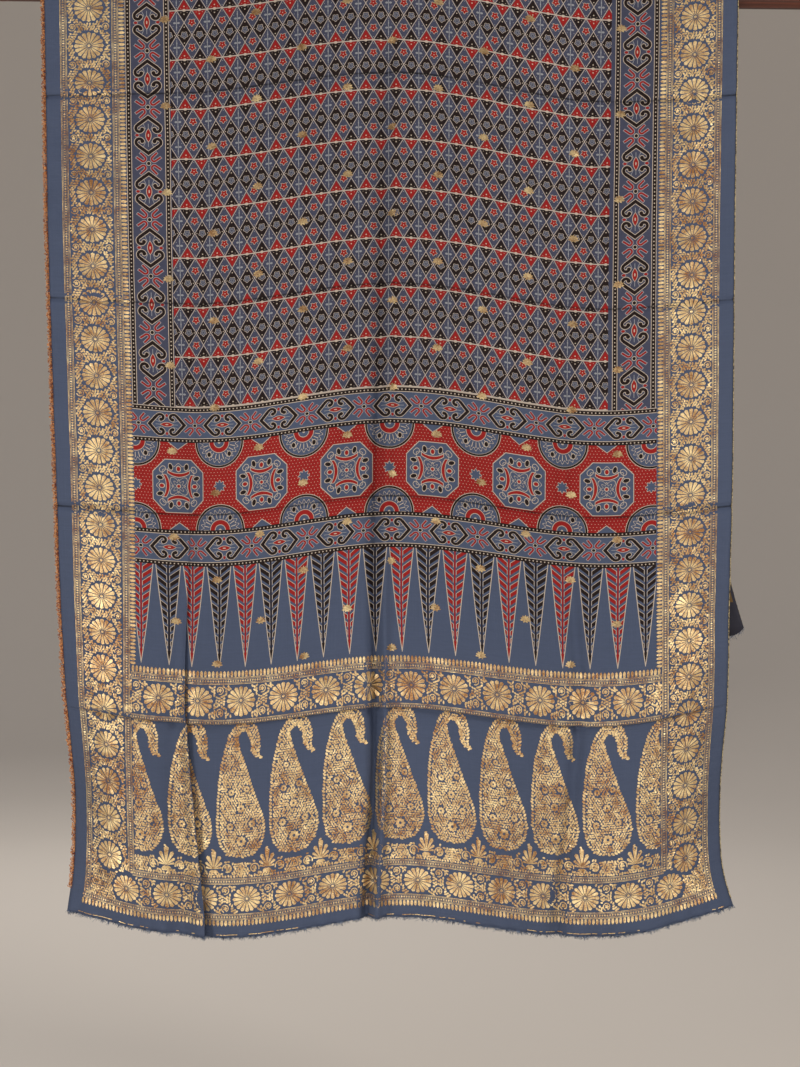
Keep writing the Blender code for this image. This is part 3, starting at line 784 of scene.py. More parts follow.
# Gold woven work. Supplementary weft of flat gold thread is woven into the borders, the cross border, the
# cones and the small flowers, and stands a little proud of the cloth. Each figure is laid out flat, in
# metres across and walked, and then carried on to the hung cloth.
GOLD_LIFT = 0.0004
THREAD_TILT = 0.09
THREAD_SEED = 31
LEAF = np.array([(0.0, 0.0), (0.28, -0.5), (0.70, -0.42), (1.0, 0.0), (0.70, 0.42), (0.28, 0.5)])
PETAL = np.array([(0.0, 0.0), (0.36, -0.22), (0.90, -0.44), (1.0, 0.0), (0.90, 0.44), (0.36, 0.22)])
BAR = np.array([(0.0, -0.5), (1.0, -0.5), (1.0, 0.5), (0.0, 0.5)])
DIAMOND = np.array([(-0.5, 0.0), (0.0, -0.5), (0.5, 0.0), (0.0, 0.5)])
TOOTH = np.array([(0.0, -0.34), (0.45, -0.5), (0.75, -0.42), (1.0, 0.0), (0.75, 0.42), (0.45, 0.5),
                  (0.0, 0.34)])


def on_cloth(places, lift=GOLD_LIFT):
    """Points of the hung cloth under flat places (across, walked), lifted off its face: read between the four
    grid points round each place."""
    across, walked = np.clip(places[:, 0], 0.0, CLOTH_WIDTH), np.clip(places[:, 1], 0.0, CLOTH_LENGTH)
    rod = height_at_rod(across)
    last = len(front_rows) - 1
    top = front_rows[-1]
    row = np.select(
        [walked <= top, walked <= rod, walked <= rod + math.pi * WRAP_RADIUS],
        [np.interp(walked, front_rows, np.arange(last + 1)),
         last + (walked - top) / (rod - top) * NEAR_ROD_STEPS,
         last + NEAR_ROD_STEPS + (walked - rod) / (math.pi * WRAP_RADIUS) * WRAP_STEPS],
        last + NEAR_ROD_STEPS + WRAP_STEPS + (walked - rod - math.pi * WRAP_RADIUS)
        / (CLOTH_LENGTH - rod - math.pi * WRAP_RADIUS) * BACK_STEPS)
    column = np.interp(across, columns, np.arange(len(columns)))
    i = np.clip(row.astype(int), 0, len(cloth_points) - 2)
    j = np.clip(column.astype(int), 0, len(columns) - 2)
    down, over_by = (row - i)[:, None], (column - j)[:, None]

    def read(grid):
        return ((grid[i, j] * (1 - over_by) + grid[i, j + 1] * over_by) * (1 - down)
                + (grid[i + 1, j] * (1 - over_by) + grid[i + 1, j + 1] * over_by) * down)

    return read(cloth_points) + read(cloth_face) * lift


def placed(shape, at, angle, length, width):
    """Copies of a flat shape, each scaled to a length and width, turned by an angle and moved to its place."""
    at = np.asarray(at, float).reshape(-1, 2)
    at = np.broadcast_to(at, (max(len(at), np.size(angle)), 2))
    angle, length, width = (np.broadcast_to(value, len(at))[:, None] for value in (angle, length, width))
    x, y = shape[:, 0] * length, shape[:, 1] * width
    return np.stack((x * np.cos(angle) - y * np.sin(angle), x * np.sin(angle) + y * np.cos(angle)),
                    -1) + at[:, None]


def row_of(first, last, pitch):
    """Evenly spaced places from first to last, at about the pitch."""
    return np.linspace(first, last, max(int(round(abs(last - first) / pitch)), 1) + 1)


def along_warp(across, walked):
    """Places at one distance across, one for each distance walked."""
    return np.column_stack((np.full(len(walked), float(across)), walked))


def along_weft(across, walked):
    return np.column_stack((across, np.full(len(across), float(walked))))


def rosette(centres, radius_across, radius_walked, petals=16):
    """Round flowers: tapering petals round a small disc, a little wider than tall."""
    angle = np.tile(np.arange(petals) * 2 * math.pi / petals, len(centres))
    at = np.repeat(centres, petals, 0)
    shapes = placed(PETAL, np.zeros_like(at), angle, 0.875, 0.31)
    shapes += 0.125 * np.stack((np.cos(angle), np.sin(angle)), -1)[:, None]
    disc = placed(np.array([(math.cos(k * math.pi / 4), math.sin(k * math.pi / 4)) for k in range(8)]),
                  np.zeros_like(centres), 0.0, 0.105, 0.105)
    scale = np.array((radius_across, radius_walked))
    return [shapes * scale + at[:, None], disc * scale + centres[:, None]]


def leaves(middles, flow, length, rng):
    """Leaves with their middles at the places, each turned to one side or the other of the flow."""
    way = flow + rng.choice((-0.6, 0.6), len(middles)) + rng.uniform(-0.22, 0.22, len(middles))
    long = length * rng.uniform(0.95, 1.25, len(middles))
    return placed(LEAF, middles - 0.5 * long[:, None] * np.column_stack((np.cos(way), np.sin(way))),
                  way, long,
                  length * rng.uniform(0.58, 0.72, len(middles)))


def lattice(low, high, pitch, rng, jitter=0.14):
    """A jittered hexagonal lattice of places between two corners."""
    x, y = np.meshgrid(np.arange(low[0], high[0], pitch), np.arange(low[1], high[1], pitch * 0.86))
    x = x + (np.arange(len(x)) % 2)[:, None] * pitch / 2
    return np.column_stack((x.ravel(), y.ravel())) + rng.uniform(-jitter, jitter, (x.size, 2)) * pitch


def stroke(points, width):
    """A flat ribbon along a line of places: one four-cornered shape for each step of the line."""
    points = np.asarray(points, float)
    ahead = np.gradient(points, axis=0)
    side = np.column_stack((-ahead[:, 1], ahead[:, 0]))
    side *= 0.5 * np.broadcast_to(width, len(points))[:, None] / np.linalg.norm(side, axis=1, keepdims=True)
    left, right = points + side, points - side
    return np.stack((right[:-1], right[1:], left[1:], left[:-1]), 1)


def arc(at, radius, first, last, steps=9):
    """Places along an arc, from one angle to another in degrees."""
    turn = np.radians(np.linspace(first, last, steps))
    return np.asarray(at) + np.column_stack((np.cos(turn), np.sin(turn))) * np.broadcast_to(radius,
                                                                                            steps)[:, None]


def repeated(shapes, centres):
    """The same shapes laid round each centre."""
    return (centres[:, None, None] + shapes[None]).reshape(-1, *shapes.shape[1:])


def guard(first, last, at, width, along_walked):
    """A guard line: two thin stripes with a row of small diamonds between them."""
    places = row_of(first, last, 0.0075)
    lay = along_warp if along_walked else along_weft
    way = math.pi / 2 if along_walked else 0.0
    shapes = []
    for offset, thick in ((-0.44, 0.09), (-0.26, 0.06), (0.26, 0.06), (0.44, 0.09)):
        start = at + offset * width
        line = lay(start, places[:-1]) if along_walked else lay(places[:-1], start)
        shapes.append(placed(BAR, line, way, places[1] - places[0], thick * width))
    beads = row_of(first, last, 0.0042)
    line = lay(at, beads) if along_walked else lay(beads, at)
    shapes.append(placed(DIAMOND, line, way, 0.0035, 0.34 * width))
    return shapes


def teeth(first, last, at, length, along_walked, way):
    """A comb of small pointed buds that stand on a line."""
    places = row_of(first, last, 0.0063)
    line = along_warp(at, places) if along_walked else along_weft(places, at)
    return placed(TOOTH, line, way, length, 0.0046)


def gold_effects():
    """Shared node group: threads side by side, bright and dull patches, and small glints painted into the colour as
    pale gold, as if a thread's flat side faced the light."""
    group = bpy.data.node_groups.new("Gold thread", "ShaderNodeTree")
    for name, way, kind in (("Place", "INPUT", "Vector"), ("Colour", "OUTPUT", "Color"),
                            ("Height", "OUTPUT", "Float"), ("Roughness", "OUTPUT", "Float")):
        group.interface.new_socket(name, in_out=way, socket_type="NodeSocket" + kind)
    taken, given = group.nodes.new("NodeGroupInput"), group.nodes.new("NodeGroupOutput")

    def noise(scales, detail):
        mapping, node = group.nodes.new("ShaderNodeMapping"), group.nodes.new("ShaderNodeTexNoise")
        mapping.inputs["Scale"].default_value = scales
        node.inputs["Scale"].default_value = 1.0
        node.inputs["Detail"].default_value = detail
        group.links.new(taken.outputs["Place"], mapping.inputs["Vector"])
        group.links.new(mapping.outputs["Vector"], node.inputs["Vector"])
        return Reading(group, node.outputs[0])

    patch = noise((9.0, 9.0, 9.0), 2.0)
    clump = noise((75.0, 75.0, 75.0), 1.0)
    thread = noise((120.0, 120.0, 1400.0), 1.0)
    glint_spots = noise((420.0, 420.0, 900.0), 0.0)
    blend = group.nodes.new("ShaderNodeMix")
    blend.data_type = "RGBA"
    # The colour runs from dull ochre to pale gold: partly patches of brighter and duller thread, partly painted
    # highlight in small glints.
    patches_and_painted_glints = patch * 1.1 + clump * 1.5 + glint_spots * 0.9 - 1.30
    group.links.new(patches_and_painted_glints.worked("MAXIMUM", 0.0).worked("MINIMUM", 1.0).socket, blend.inputs["Factor"])
    blend.inputs["A"].default_value = screen("98693c")
    blend.inputs["B"].default_value = screen("f8dfa8")
    group.links.new(blend.outputs["Result"], given.inputs["Colour"])
    group.links.new((thread + glint_spots).socket, given.inputs["Height"])
    group.links.new((0.52 - glint_spots * 0.3 + patch * 0.1).socket, given.inputs["Roughness"])
    return group


def gold_material(name, effects, tone_and_crease_shade=1.0):
    material = bpy.data.materials.new(name)
    material.use_nodes = True
    tree = material.node_tree
    shader = tree.nodes["Principled BSDF"]
    place = tree.nodes.new("ShaderNodeTexCoord")
    look = tree.nodes.new("ShaderNodeGroup")
    look.node_tree = effects
    tree.links.new(place.outputs["Object"], look.inputs["Place"])
    bump = tree.nodes.new("ShaderNodeBump")
    bump.inputs["Strength"].default_value = 0.5
    bump.inputs["Distance"].default_value = 0.0006
    tree.links.new(look.outputs["Height"], bump.inputs["Height"])
    tree.links.new(bump.outputs["Normal"], shader.inputs["Normal"])
    toned = tree.nodes.new("ShaderNodeVectorMath")
    toned.operation = "SCALE"
    toned.inputs["Scale"].default_value = tone_and_crease_shade
    tree.links.new(look.outputs["Colour"], toned.inputs[0])
    tree.links.new(toned.outputs[0], shader.inputs["Base Color"])
    tree.links.new(look.outputs["Roughness"], shader.inputs["Roughness"])
    shader.inputs["Metallic"].default_value = 0.55
    return material


gold_thread = gold_effects()
gold = gold_material("Woven gold thread", gold_thread)
dull_gold = gold_material("Thin gold thread", gold_thread, 0.66)


def gold_piece(name, shapes, material=gold):
    """One piece of woven gold from lists of flat shapes."""
    rng = np.random.default_rng(THREAD_SEED)
    places = np.concatenate([shape.reshape(-1, 2) for shape in shapes])
    tilt = [((shape - shape.mean(1, keepdims=True)) * rng.normal(0.0, THREAD_TILT,
                                                                 (len(shape), 1, 2))).sum(-1).ravel()
            for shape in shapes]
    faces, first = [], 0
    for shape in shapes:
        count, corners = shape.shape[:2]
        faces += (first + np.arange(count * corners).reshape(count, corners)).tolist()
        first += count * corners
    lift = GOLD_LIFT + np.clip(np.concatenate(tilt), -GOLD_LIFT * 0.6, GOLD_LIFT)
    return new_piece(name, on_cloth(places, lift[:, None]), faces, material)


# Side borders, along both selvedges and the whole length of the cloth: a plain margin, a guard, a band of
# round flowers in leafy scrolls, a second guard and a comb of buds towards the print.
MARGIN = 0.0266
OUTER_GUARD = 0.0322
FLOWER_LINE = 0.0735
INNER_GUARD = 0.1155
COMB_LINE = 0.1216
GUARD_WIDTH = 0.0112
SIDE_FLOWER = (0.0243, 0.0222)
SIDE_FLOWER_PITCH = 0.061
LEFT_FLOWER_TOP = 1.448
RIGHT_FLOWER_TOP = 1.439
SIDE_FLOWER_FOOT = 0.095
BORDER_FOOT = 0.038
LEAF_PITCH = 0.0045
LEAF_LENGTH = 0.0050
SCROLL_RADIUS = 0.0062
CROSS_TOP = 0.421
RIGHT_SHRINK = 0.965


def gap_growth(half_width, half_gap, radius_across, radius_walked, seed, lying=False):
    """What grows between two flowers of a band, centred on the gap: on each side a scroll round a bud, and leaves
    that swirl round the scrolls. lying turns it for a band across the cloth."""
    rng = np.random.default_rng(seed)
    at = lattice((-half_width, -half_gap), (half_width, half_gap), LEAF_PITCH, rng)
    x, y = at.T
    scroll_x = half_width - SCROLL_RADIUS - 0.0024
    from_flower = np.hypot(x / (radius_across + 0.0027), (half_gap - np.abs(y)) / (radius_walked + 0.0027))
    from_scroll = np.hypot(np.abs(x) - scroll_x, y)
    grows = (from_flower > 1.0) & (from_scroll > SCROLL_RADIUS + 0.0024) & (np.abs(x) < half_width - 0.0022)
    flow = np.arctan2(y, np.abs(x) - scroll_x) + 1.2
    flow = np.where(x < 0, math.pi - flow, flow)
    shapes = [leaves(at[grows], flow[grows], LEAF_LENGTH, rng)]
    for side in (1, -1):
        eye = (side * scroll_x, 0.0)
        shapes.append(stroke(arc(eye, np.linspace(1.0, 0.72, 12) * SCROLL_RADIUS, 200, 200 - side * 330,
                                 12), 0.0016))
        shapes.append(placed(LEAF, np.tile(eye, (5, 1)), np.radians((90, 18, -54, 162, 234)), 0.0038,
                             0.0024))
    if lying:
        shapes = [shape[:, :, ::-1][:, ::-1] for shape in shapes]
    return shapes


def grown(shapes, centres):
    """The growth of one gap laid into every gap."""
    return [repeated(shape, centres) for shape in shapes]


side_shapes = []
side_gap = gap_growth(0.0357, SIDE_FLOWER_PITCH / 2, *SIDE_FLOWER, seed=3)
for left, flower_top in ((True, LEFT_FLOWER_TOP), (False, RIGHT_FLOWER_TOP)):
    def from_edge(distance):
        return distance if left else CLOTH_WIDTH - distance * RIGHT_SHRINK

    below = int((flower_top - SIDE_FLOWER_FOOT) / SIDE_FLOWER_PITCH)
    above = int((PATTERN_END - 0.032 - flower_top) / SIDE_FLOWER_PITCH)
    flowers = flower_top + np.arange(-below, above + 1) * SIDE_FLOWER_PITCH
    side_shapes += rosette(along_warp(from_edge(FLOWER_LINE), flowers), *SIDE_FLOWER)
    side_shapes += grown(side_gap, along_warp(from_edge(FLOWER_LINE), flowers[:-1] + SIDE_FLOWER_PITCH / 2))
    side_shapes += guard(BORDER_FOOT, PATTERN_END - 0.010, from_edge(OUTER_GUARD), GUARD_WIDTH, True)
    side_shapes += guard(0.088, PATTERN_END - 0.010, from_edge(INNER_GUARD), GUARD_WIDTH, True)
    side_shapes.append(teeth(CROSS_TOP + 0.006, PATTERN_END - 0.014, from_edge(COMB_LINE), 0.0098, True,
                             0.0 if left else math.pi))
gold_piece("gold_side_borders", side_shapes)

# Cross border above the cones and the border along the hem, woven the same way from side to side.
CROSS_GUARDS = ((0.3468, 0.0082), (0.4075, 0.0110))
CROSS_FLOWERS = row_of(0.168, 0.961, 0.0721)
CROSS_FLOWER_LINE = 0.3765
CROSS_FLOWER = (0.0248, 0.0225)
HEM_TEETH = 0.0275
HEM_GUARD = (0.0330, 0.0100)
HEM_FLOWERS = row_of(0.106, 1.030, 0.0711)
HEM_FLOWER_LINE = 0.0605
HEM_FLOWER = (0.0240, 0.0205)
UPPER_HEM_GUARD = (0.0885, 0.0095)
PRINT_LEFT, PRINT_RIGHT = 0.1225, CLOTH_WIDTH - 0.1225 * RIGHT_SHRINK

cross_shapes = []
for centres, line, size, half_band in ((CROSS_FLOWERS, CROSS_FLOWER_LINE, CROSS_FLOWER, 0.0252),
                                       (HEM_FLOWERS, HEM_FLOWER_LINE, HEM_FLOWER, 0.0228)):
    pitch = centres[1] - centres[0]
    band = gap_growth(half_band, pitch / 2, size[1], size[0], seed=5, lying=True)
    gaps = centres[:-1] + pitch / 2
    if line == CROSS_FLOWER_LINE:
        gaps = np.concatenate((gaps, [centres[0] - pitch / 2, centres[-1] + pitch / 2]))
    cross_shapes += rosette(along_weft(centres, line), *size)
    cross_shapes += grown(band, along_weft(gaps, line))
rng = np.random.default_rng(43)
bed = lattice((0.9900, CROSS_FLOWER_LINE - 0.0240), (PRINT_RIGHT - 0.0020, CROSS_FLOWER_LINE + 0.0250),
              LEAF_PITCH, rng)
bed = bed[np.hypot((bed[:, 0] - 1.0331) / 0.0275, (bed[:, 1] - CROSS_FLOWER_LINE) / 0.0252) < 1.0]
cross_shapes.append(leaves(bed, bed[:, 1] * 190, LEAF_LENGTH, rng))
for line, width in CROSS_GUARDS:
    cross_shapes += guard(PRINT_LEFT, PRINT_RIGHT, line, width, False)
cross_shapes += guard(MARGIN, CLOTH_WIDTH - MARGIN * RIGHT_SHRINK, PATTERN_END - 0.0045, 0.0105, False)
for (line, width), inset in ((HEM_GUARD, MARGIN), (UPPER_HEM_GUARD, 0.118)):
    cross_shapes += guard(inset, CLOTH_WIDTH - inset * RIGHT_SHRINK, line, width, False)
rng = np.random.default_rng(37)
for left in (True, False):
    bed = lattice((0.0400, 0.0400), (0.1090, 0.1300), LEAF_PITCH, rng)
    if not left:
        bed[:, 0] = CLOTH_WIDTH - bed[:, 0] * RIGHT_SHRINK
    last_flower = (LEFT_FLOWER_TOP if left else RIGHT_FLOWER_TOP) - SIDE_FLOWER_FOOT
    last_flower = SIDE_FLOWER_FOOT + last_flower % SIDE_FLOWER_PITCH
    corner = HEM_FLOWERS[0] if left else HEM_FLOWERS[-1]
    line = FLOWER_LINE if left else CLOTH_WIDTH - FLOWER_LINE * RIGHT_SHRINK
    clear = (np.hypot(bed[:, 0] - line, bed[:, 1] - last_flower) > 0.0272) & (
        np.hypot(bed[:, 0] - corner, bed[:, 1] - HEM_FLOWER_LINE) > 0.0265) & (bed[:, 1] < last_flower)
    cross_shapes.append(leaves(bed[clear], bed[clear, 1] * 190 + bed[clear, 0] * 120, LEAF_LENGTH, rng))
cross_shapes.append(teeth(PRINT_LEFT + 0.004, PRINT_RIGHT - 0.004, 0.4135, 0.0105, False, math.pi / 2))
cross_shapes.append(teeth(MARGIN, CLOTH_WIDTH - MARGIN * RIGHT_SHRINK, HEM_TEETH, 0.0092, False,
                          -math.pi / 2))
gold_piece("gold_cross_borders", cross_shapes)

# Cones. Eleven tall curled cones of gold leaves stand side by side; each has its tip bent over to the
# right, and a leafy scroll with small palmettes runs under them. The outermost two are half hidden by the
# borders.
PX = 0.00162
CONE_FOOT = 0.126
CONE_FIRST = 0.133
CONE_PITCH = 0.0883
CONE_COUNT = 11
CONE_OUTLINE = np.array([
    (0, 0), (13, 3), (21, 12), (24.5, 25), (22.5, 38), (17.5, 52), (12, 66), (7, 81), (2, 96), (-2, 108),
    (-3.5, 116), (-2, 121), (2.5, 124.5), (7, 123.8), (10.5, 119), (11.5, 112), (12.5, 106),
    (15.5, 100), (23, 95), (18.5, 101.5),
    (19.5, 108), (19.5, 118), (16.5, 127), (11.5, 132), (4.5, 133.5), (-2.5, 131), (-8, 126),
    (-12.5, 118), (-15.5, 109),
    (-19.5, 95), (-22.5, 77), (-24.5, 55), (-24.5, 28), (-21, 12), (-13, 3)]) * PX
CONE_LEAF_PITCH = 0.0044
CONE_BLOOMS = np.array([(0.000, 0.026), (-0.019, 0.050), (0.018, 0.053), (-0.001, 0.078),
                        (-0.017, 0.104), (0.009, 0.108),
                        (-0.012, 0.140)])
CONE_BLOOM_RADII = np.array((0.0088, 0.0062, 0.0062, 0.0070, 0.0056, 0.0056, 0.0050))


def inside_outline(points, outline):
    """True for points inside a closed outline: a ray to the right crosses it an odd number of times."""
    x, y = points[:, :1], points[:, 1:]
    x0, y0 = outline[:, 0], outline[:, 1]
    x1, y1 = np.roll(x0, -1), np.roll(y0, -1)
    spans = (y0 > y) != (y1 > y)
    cross = x0 + (y - y0) / np.where(y1 == y0, 1.0, y1 - y0) * (x1 - x0)
    return (spans & (x < cross)).sum(1) % 2 == 1


def cone_leaves(seed):
    """One cone: small blooms up its middle in a bed of leaves that lean outwards, and leaf tips round its edge."""
    rng = np.random.default_rng(seed)
    at = lattice((-0.045, 0.0), (0.045, 0.22), CONE_LEAF_PITCH, rng)
    at = at[inside_outline(at, CONE_OUTLINE * (0.90, 0.975) + (0.0, 0.002))]
    from_bloom = np.linalg.norm(at[:, None] - CONE_BLOOMS, axis=2) - CONE_BLOOM_RADII
    at = at[from_bloom.min(1) > 0.0014]
    side = np.sign(at[:, 0] + 0.0008)
    angle = math.pi / 2 - side * (0.5 + 0.7 * np.sin(at[:, 1] * 150.0 + np.abs(at[:, 0]) * 120.0))
    bed = leaves(at, angle, LEAF_LENGTH * 0.96, rng)
    turn = np.tile(np.arange(9) * 2 * math.pi / 9, len(CONE_BLOOMS))
    heart = np.repeat(CONE_BLOOM_RADII, 9)
    root = np.repeat(CONE_BLOOMS, 9, 0) + 0.22 * heart[:,
                                                       None] * np.column_stack((np.cos(turn), np.sin(turn)))
    blooms = placed(LEAF, root, turn, heart * 0.80, heart * 0.56)
    loop = np.vstack((CONE_OUTLINE, CONE_OUTLINE[:1]))
    walk = np.concatenate(([0.0], np.cumsum(np.linalg.norm(np.diff(loop, axis=0), axis=1))))
    stops = row_of(0.0, walk[-1], 0.0054)[:-1]
    edge = np.column_stack([np.interp(stops, walk, loop[:, k]) for k in (0, 1)])
    ahead = np.column_stack([np.interp(stops + 0.001, walk, loop[:, k]) for k in (0, 1)]) - edge
    outward = np.arctan2(ahead[:, 1], ahead[:, 0]) - math.pi / 2
    lean = np.where(outward > -math.pi / 2, 0.75, -0.75)
    inset = edge - 0.0030 * np.column_stack((np.cos(outward), np.sin(outward)))
    tips = placed(LEAF, inset, outward + lean, rng.uniform(0.0055, 0.0078, len(inset)), 0.0040)
    return np.concatenate((bed, blooms, tips))


cones = CONE_FIRST + np.arange(CONE_COUNT) * CONE_PITCH
cone_shapes = []
for number, centre in enumerate(cones):
    shapes = cone_leaves(seed=20 + number) + (centre, CONE_FOOT)
    middle = shapes.mean(1)
    shown = (middle[:, 0] > PRINT_LEFT + 0.0005) & (middle[:, 0] < PRINT_RIGHT - 0.0005) & (middle[:, 1] < 0.3405)
    cone_shapes.append(shapes[shown])

# Under the cones: a palmette in each gap, with a pair of C-shaped scrolls beside it and small leaves
# between.
PALMETTE_ROOT = 0.1085
PALMETTE_TURNS = np.radians((90, 64, 116, 38, 142, 12, 168))
PALMETTE_REACHES = np.array((0.0300, 0.0235, 0.0235, 0.0170, 0.0170, 0.0130, 0.0130))
rng = np.random.default_rng(41)
for gap in CONE_FIRST + CONE_PITCH * (np.arange(-1, CONE_COUNT) + 0.5):
    cone_shapes.append(placed(PETAL, (gap, PALMETTE_ROOT), PALMETTE_TURNS, PALMETTE_REACHES,
                              PALMETTE_REACHES * 0.30))
    cone_shapes.append(placed(LEAF, (gap, PALMETTE_ROOT - 0.002), np.radians((-60, -120, -25, -155)),
                              0.0085, 0.0036))
    bed = lattice((gap - CONE_PITCH / 2, 0.0965), (gap + CONE_PITCH / 2, 0.146), LEAF_PITCH, rng)
    beside, high = np.abs(bed[:, 0] - gap), bed[:, 1]
    below_cone = high < 0.162 - 0.0455 * np.sqrt(np.maximum(1 - ((CONE_PITCH / 2 - beside) / 0.0485) ** 2, 0.0))
    clear = (np.hypot(beside / 0.0185, (high - 0.119) / 0.0195) > 1.0) | (high < PALMETTE_ROOT - 0.006)
    open_ring = np.abs(np.hypot(beside - 0.0215, high - 0.1085) - 0.0075) > 0.0026
    bed = bed[below_cone & clear & open_ring]
    cone_shapes.append(leaves(bed, math.pi / 2 - np.sign(bed[:, 0] - gap) * (0.6 + bed[:, 1] * 30.0),
                              LEAF_LENGTH, rng))
    for side in (1, -1):
        def mirrored(points):
            flipped = points * (side, 1) + (gap, 0)
            return flipped[::side]
        cone_shapes.append(stroke(mirrored(arc((0.0215, 0.1085), np.linspace(0.0082, 0.0052, 11), 200,
                                               -120, 11)), 0.0019))
        cone_shapes.append(stroke(mirrored(arc((0.0215, 0.1095), np.linspace(0.0030, 0.0016, 7), 150,
                                               -130, 7)), 0.0015))
cone_shapes = [shapes[(shapes.mean(1)[:, 0] > PRINT_LEFT + 0.0005) & (shapes.mean(1)[:, 0] < PRINT_RIGHT - 0.0005)]
               for shapes in cone_shapes]
gold_piece("gold_cones", cone_shapes)

# Small gold flowers, woven at even steps over the whole print, every second column half a step lower.
BUTI_COLUMNS = 0.196 + np.arange(11) * 0.0747
BUTI_STEP = 0.1405
BUTI_TOPS = (1.489, 1.421)
BUTI_ANGLES = np.radians((-8, 22, 52, 90, 128, 158, 188))
BUTI_REACH = 0.0094
buti_places = np.concatenate([
    along_warp(column, BUTI_TOPS[number % 2] + np.arange(-7, 9) * BUTI_STEP)
    for number, column in enumerate(BUTI_COLUMNS)])
buti_places = buti_places[(buti_places[:, 1] > 0.430) & (buti_places[:, 1] < PATTERN_END - 0.02)]
fan = np.tile(BUTI_ANGLES, len(buti_places))
roots = np.repeat(buti_places, len(BUTI_ANGLES), 0) - (0.0, 0.0028)
gold_piece("gold_small_flowers", [
    placed(LEAF, roots, fan, BUTI_REACH - 0.0014 * np.sin(fan), 0.0038),
    placed(LEAF, buti_places - (0.0, 0.0036), -math.pi / 2 + 0.75, 0.0056, 0.0032),
    placed(LEAF, buti_places - (0.0, 0.0036), -math.pi / 2 - 0.75, 0.0056, 0.0032)], dull_gold)

# Selvedges. The outermost warp of the left edge is caught in rust and pale gold loops that stand out from
# it; the right edge has one thin gold cord.
LOOP_PITCH = 0.0017
LOOP_REACH = 0.0058
LOOP_THREAD = 0.0013
LOOP_STEPS = 6
CORD_THREAD = 0.0018
SELVEDGE_SEED = 17


def threads(paths, thickness, up):
    """Three-sided threads along many paths at once: paths is an array of strands x points x 3, and up gives one
    direction for each strand that isn't along it."""
    ahead = np.gradient(paths, axis=1)
    ahead /= np.linalg.norm(ahead, axis=-1, keepdims=True)
    side = np.cross(ahead, up[:, None])
    side /= np.linalg.norm(side, axis=-1, keepdims=True)
    top = np.cross(side, ahead)
    thickness = np.broadcast_to(thickness, paths.shape[:2])[..., None, None] / 2
    turn = np.arange(3) * 2 * math.pi / 3
    ring = (np.cos(turn)[:, None] * side[:, :, None] + np.sin(turn)[:, None] * top[:, :, None]) * thickness
    points = paths[:, :, None] + ring
    strands, count = paths.shape[:2]
    base = np.arange(strands)[:, None, None] * count * 3
    i, k = np.meshgrid(np.arange(count - 1), np.arange(3), indexing="ij")
    after = (k + 1) % 3
    walls = np.stack((i * 3 + k, (i + 1) * 3 + k, (i + 1) * 3 + after, i * 3 + after), -1)
    faces = (base[..., None] + walls).reshape(-1, 4).tolist()
    ends = base[:, 0] + np.array((0, 1, 2))
    return points, faces + ends.tolist() + (ends[:, ::-1] + (count - 1) * 3).tolist()


def thread_material(name, dark, light, scale, metallic, roughness):
    """A yarn that varies between two colours along its piece."""
    material = bpy.data.materials.new(name)
    material.use_nodes = True
    tree = material.node_tree
    shader = tree.nodes["Principled BSDF"]
    place, node = tree.nodes.new("ShaderNodeTexCoord"), tree.nodes.new("ShaderNodeTexNoise")
    node.inputs["Scale"].default_value = scale
    node.inputs["Detail"].default_value = 2.0
    tree.links.new(place.outputs["Object"], node.inputs["Vector"])
    share = (Reading(tree, node.outputs[0]) - 0.5) * 4.0 + 0.5
    blend = tree.nodes.new("ShaderNodeMix")
    blend.data_type = "RGBA"
    blend.inputs["A"].default_value, blend.inputs["B"].default_value = dark, light
    tree.links.new(share.socket, blend.inputs["Factor"])
    tree.links.new(blend.outputs["Result"], shader.inputs["Base Color"])
    shader.inputs["Metallic"].default_value = metallic
    shader.inputs["Roughness"].default_value = roughness
    return material


def edge_points(across, walked):
    """Points of the cloth's edge, and the directions outwards along the cloth and off its face there."""
    places = along_warp(across, walked)
    point = on_cloth(places, 0.0)
    face = on_cloth(places, 1.0) - point
    inner = on_cloth(along_warp(across + (0.01 if across < 0.5 else -0.01), walked), 0.0)
    outward = point - inner
    return point, outward / np.linalg.norm(outward, axis=1, keepdims=True), face


rng = np.random.default_rng(SELVEDGE_SEED)
starts = np.arange(0.036, CLOTH_LENGTH - 0.03, LOOP_PITCH)
starts = starts + rng.uniform(-0.0012, 0.0012, len(starts))
point, outward, face = edge_points(0.0006, starts)
ahead = edge_points(0.0006, starts + 0.003)[0] - point
reach = LOOP_REACH * rng.uniform(0.55, 1.25, (len(starts), 1, 1))
lift = rng.uniform(-0.0010, 0.0045, (len(starts), 1, 1))
bow = np.linspace(0, math.pi, LOOP_STEPS)[None, :, None]
loops = (point[:, None] + ahead[:, None] * (0.5 - 0.62 * np.cos(bow)) + outward[:, None] * (np.sin(bow) * reach - 0.002)
         + face[:, None] * (np.sin(bow) * lift + 0.0006))
rust = thread_material("Rust and pale gold yarn", screen("7c2e0a"), screen("e6a468"), 330.0, 0.15, 0.5)
points, faces = threads(loops, LOOP_THREAD, face + outward * 0.01)
new_piece("selvedge_loops_left", points, faces, rust)

stations = np.arange(0.012, CLOTH_LENGTH - 0.01, 0.004)
point, outward, face = edge_points(CLOTH_WIDTH - 0.0004, stations)
wave = (0.0003 * np.sin(np.arange(len(stations)) * 2.1))[:, None]
olive = thread_material("Olive and gold yarn", screen("4a4030"), screen("dcc896"), 420.0, 0.3, 0.5)
points, faces = threads((point + outward * wave + face * 0.0005)[None], CORD_THREAD, face[:1])
new_piece("selvedge_cord_right", points, faces, olive)

# Frayed hems. Both cut ends are left raw: the last weft threads have come away and the warp stands out
# below the cloth as a short uneven fringe, lighter than the cloth. A few gold threads lie along the front
# hem.
FRINGE_COUNTS = {"front": 3600, "back": 2400}
FRINGE_LENGTHS = {"front": (0.0020, 0.0080), "back": (0.0030, 0.0105)}
FRINGE_THREAD = 0.00055
FRINGE_STEPS = 4
FRINGE_SEED = 23

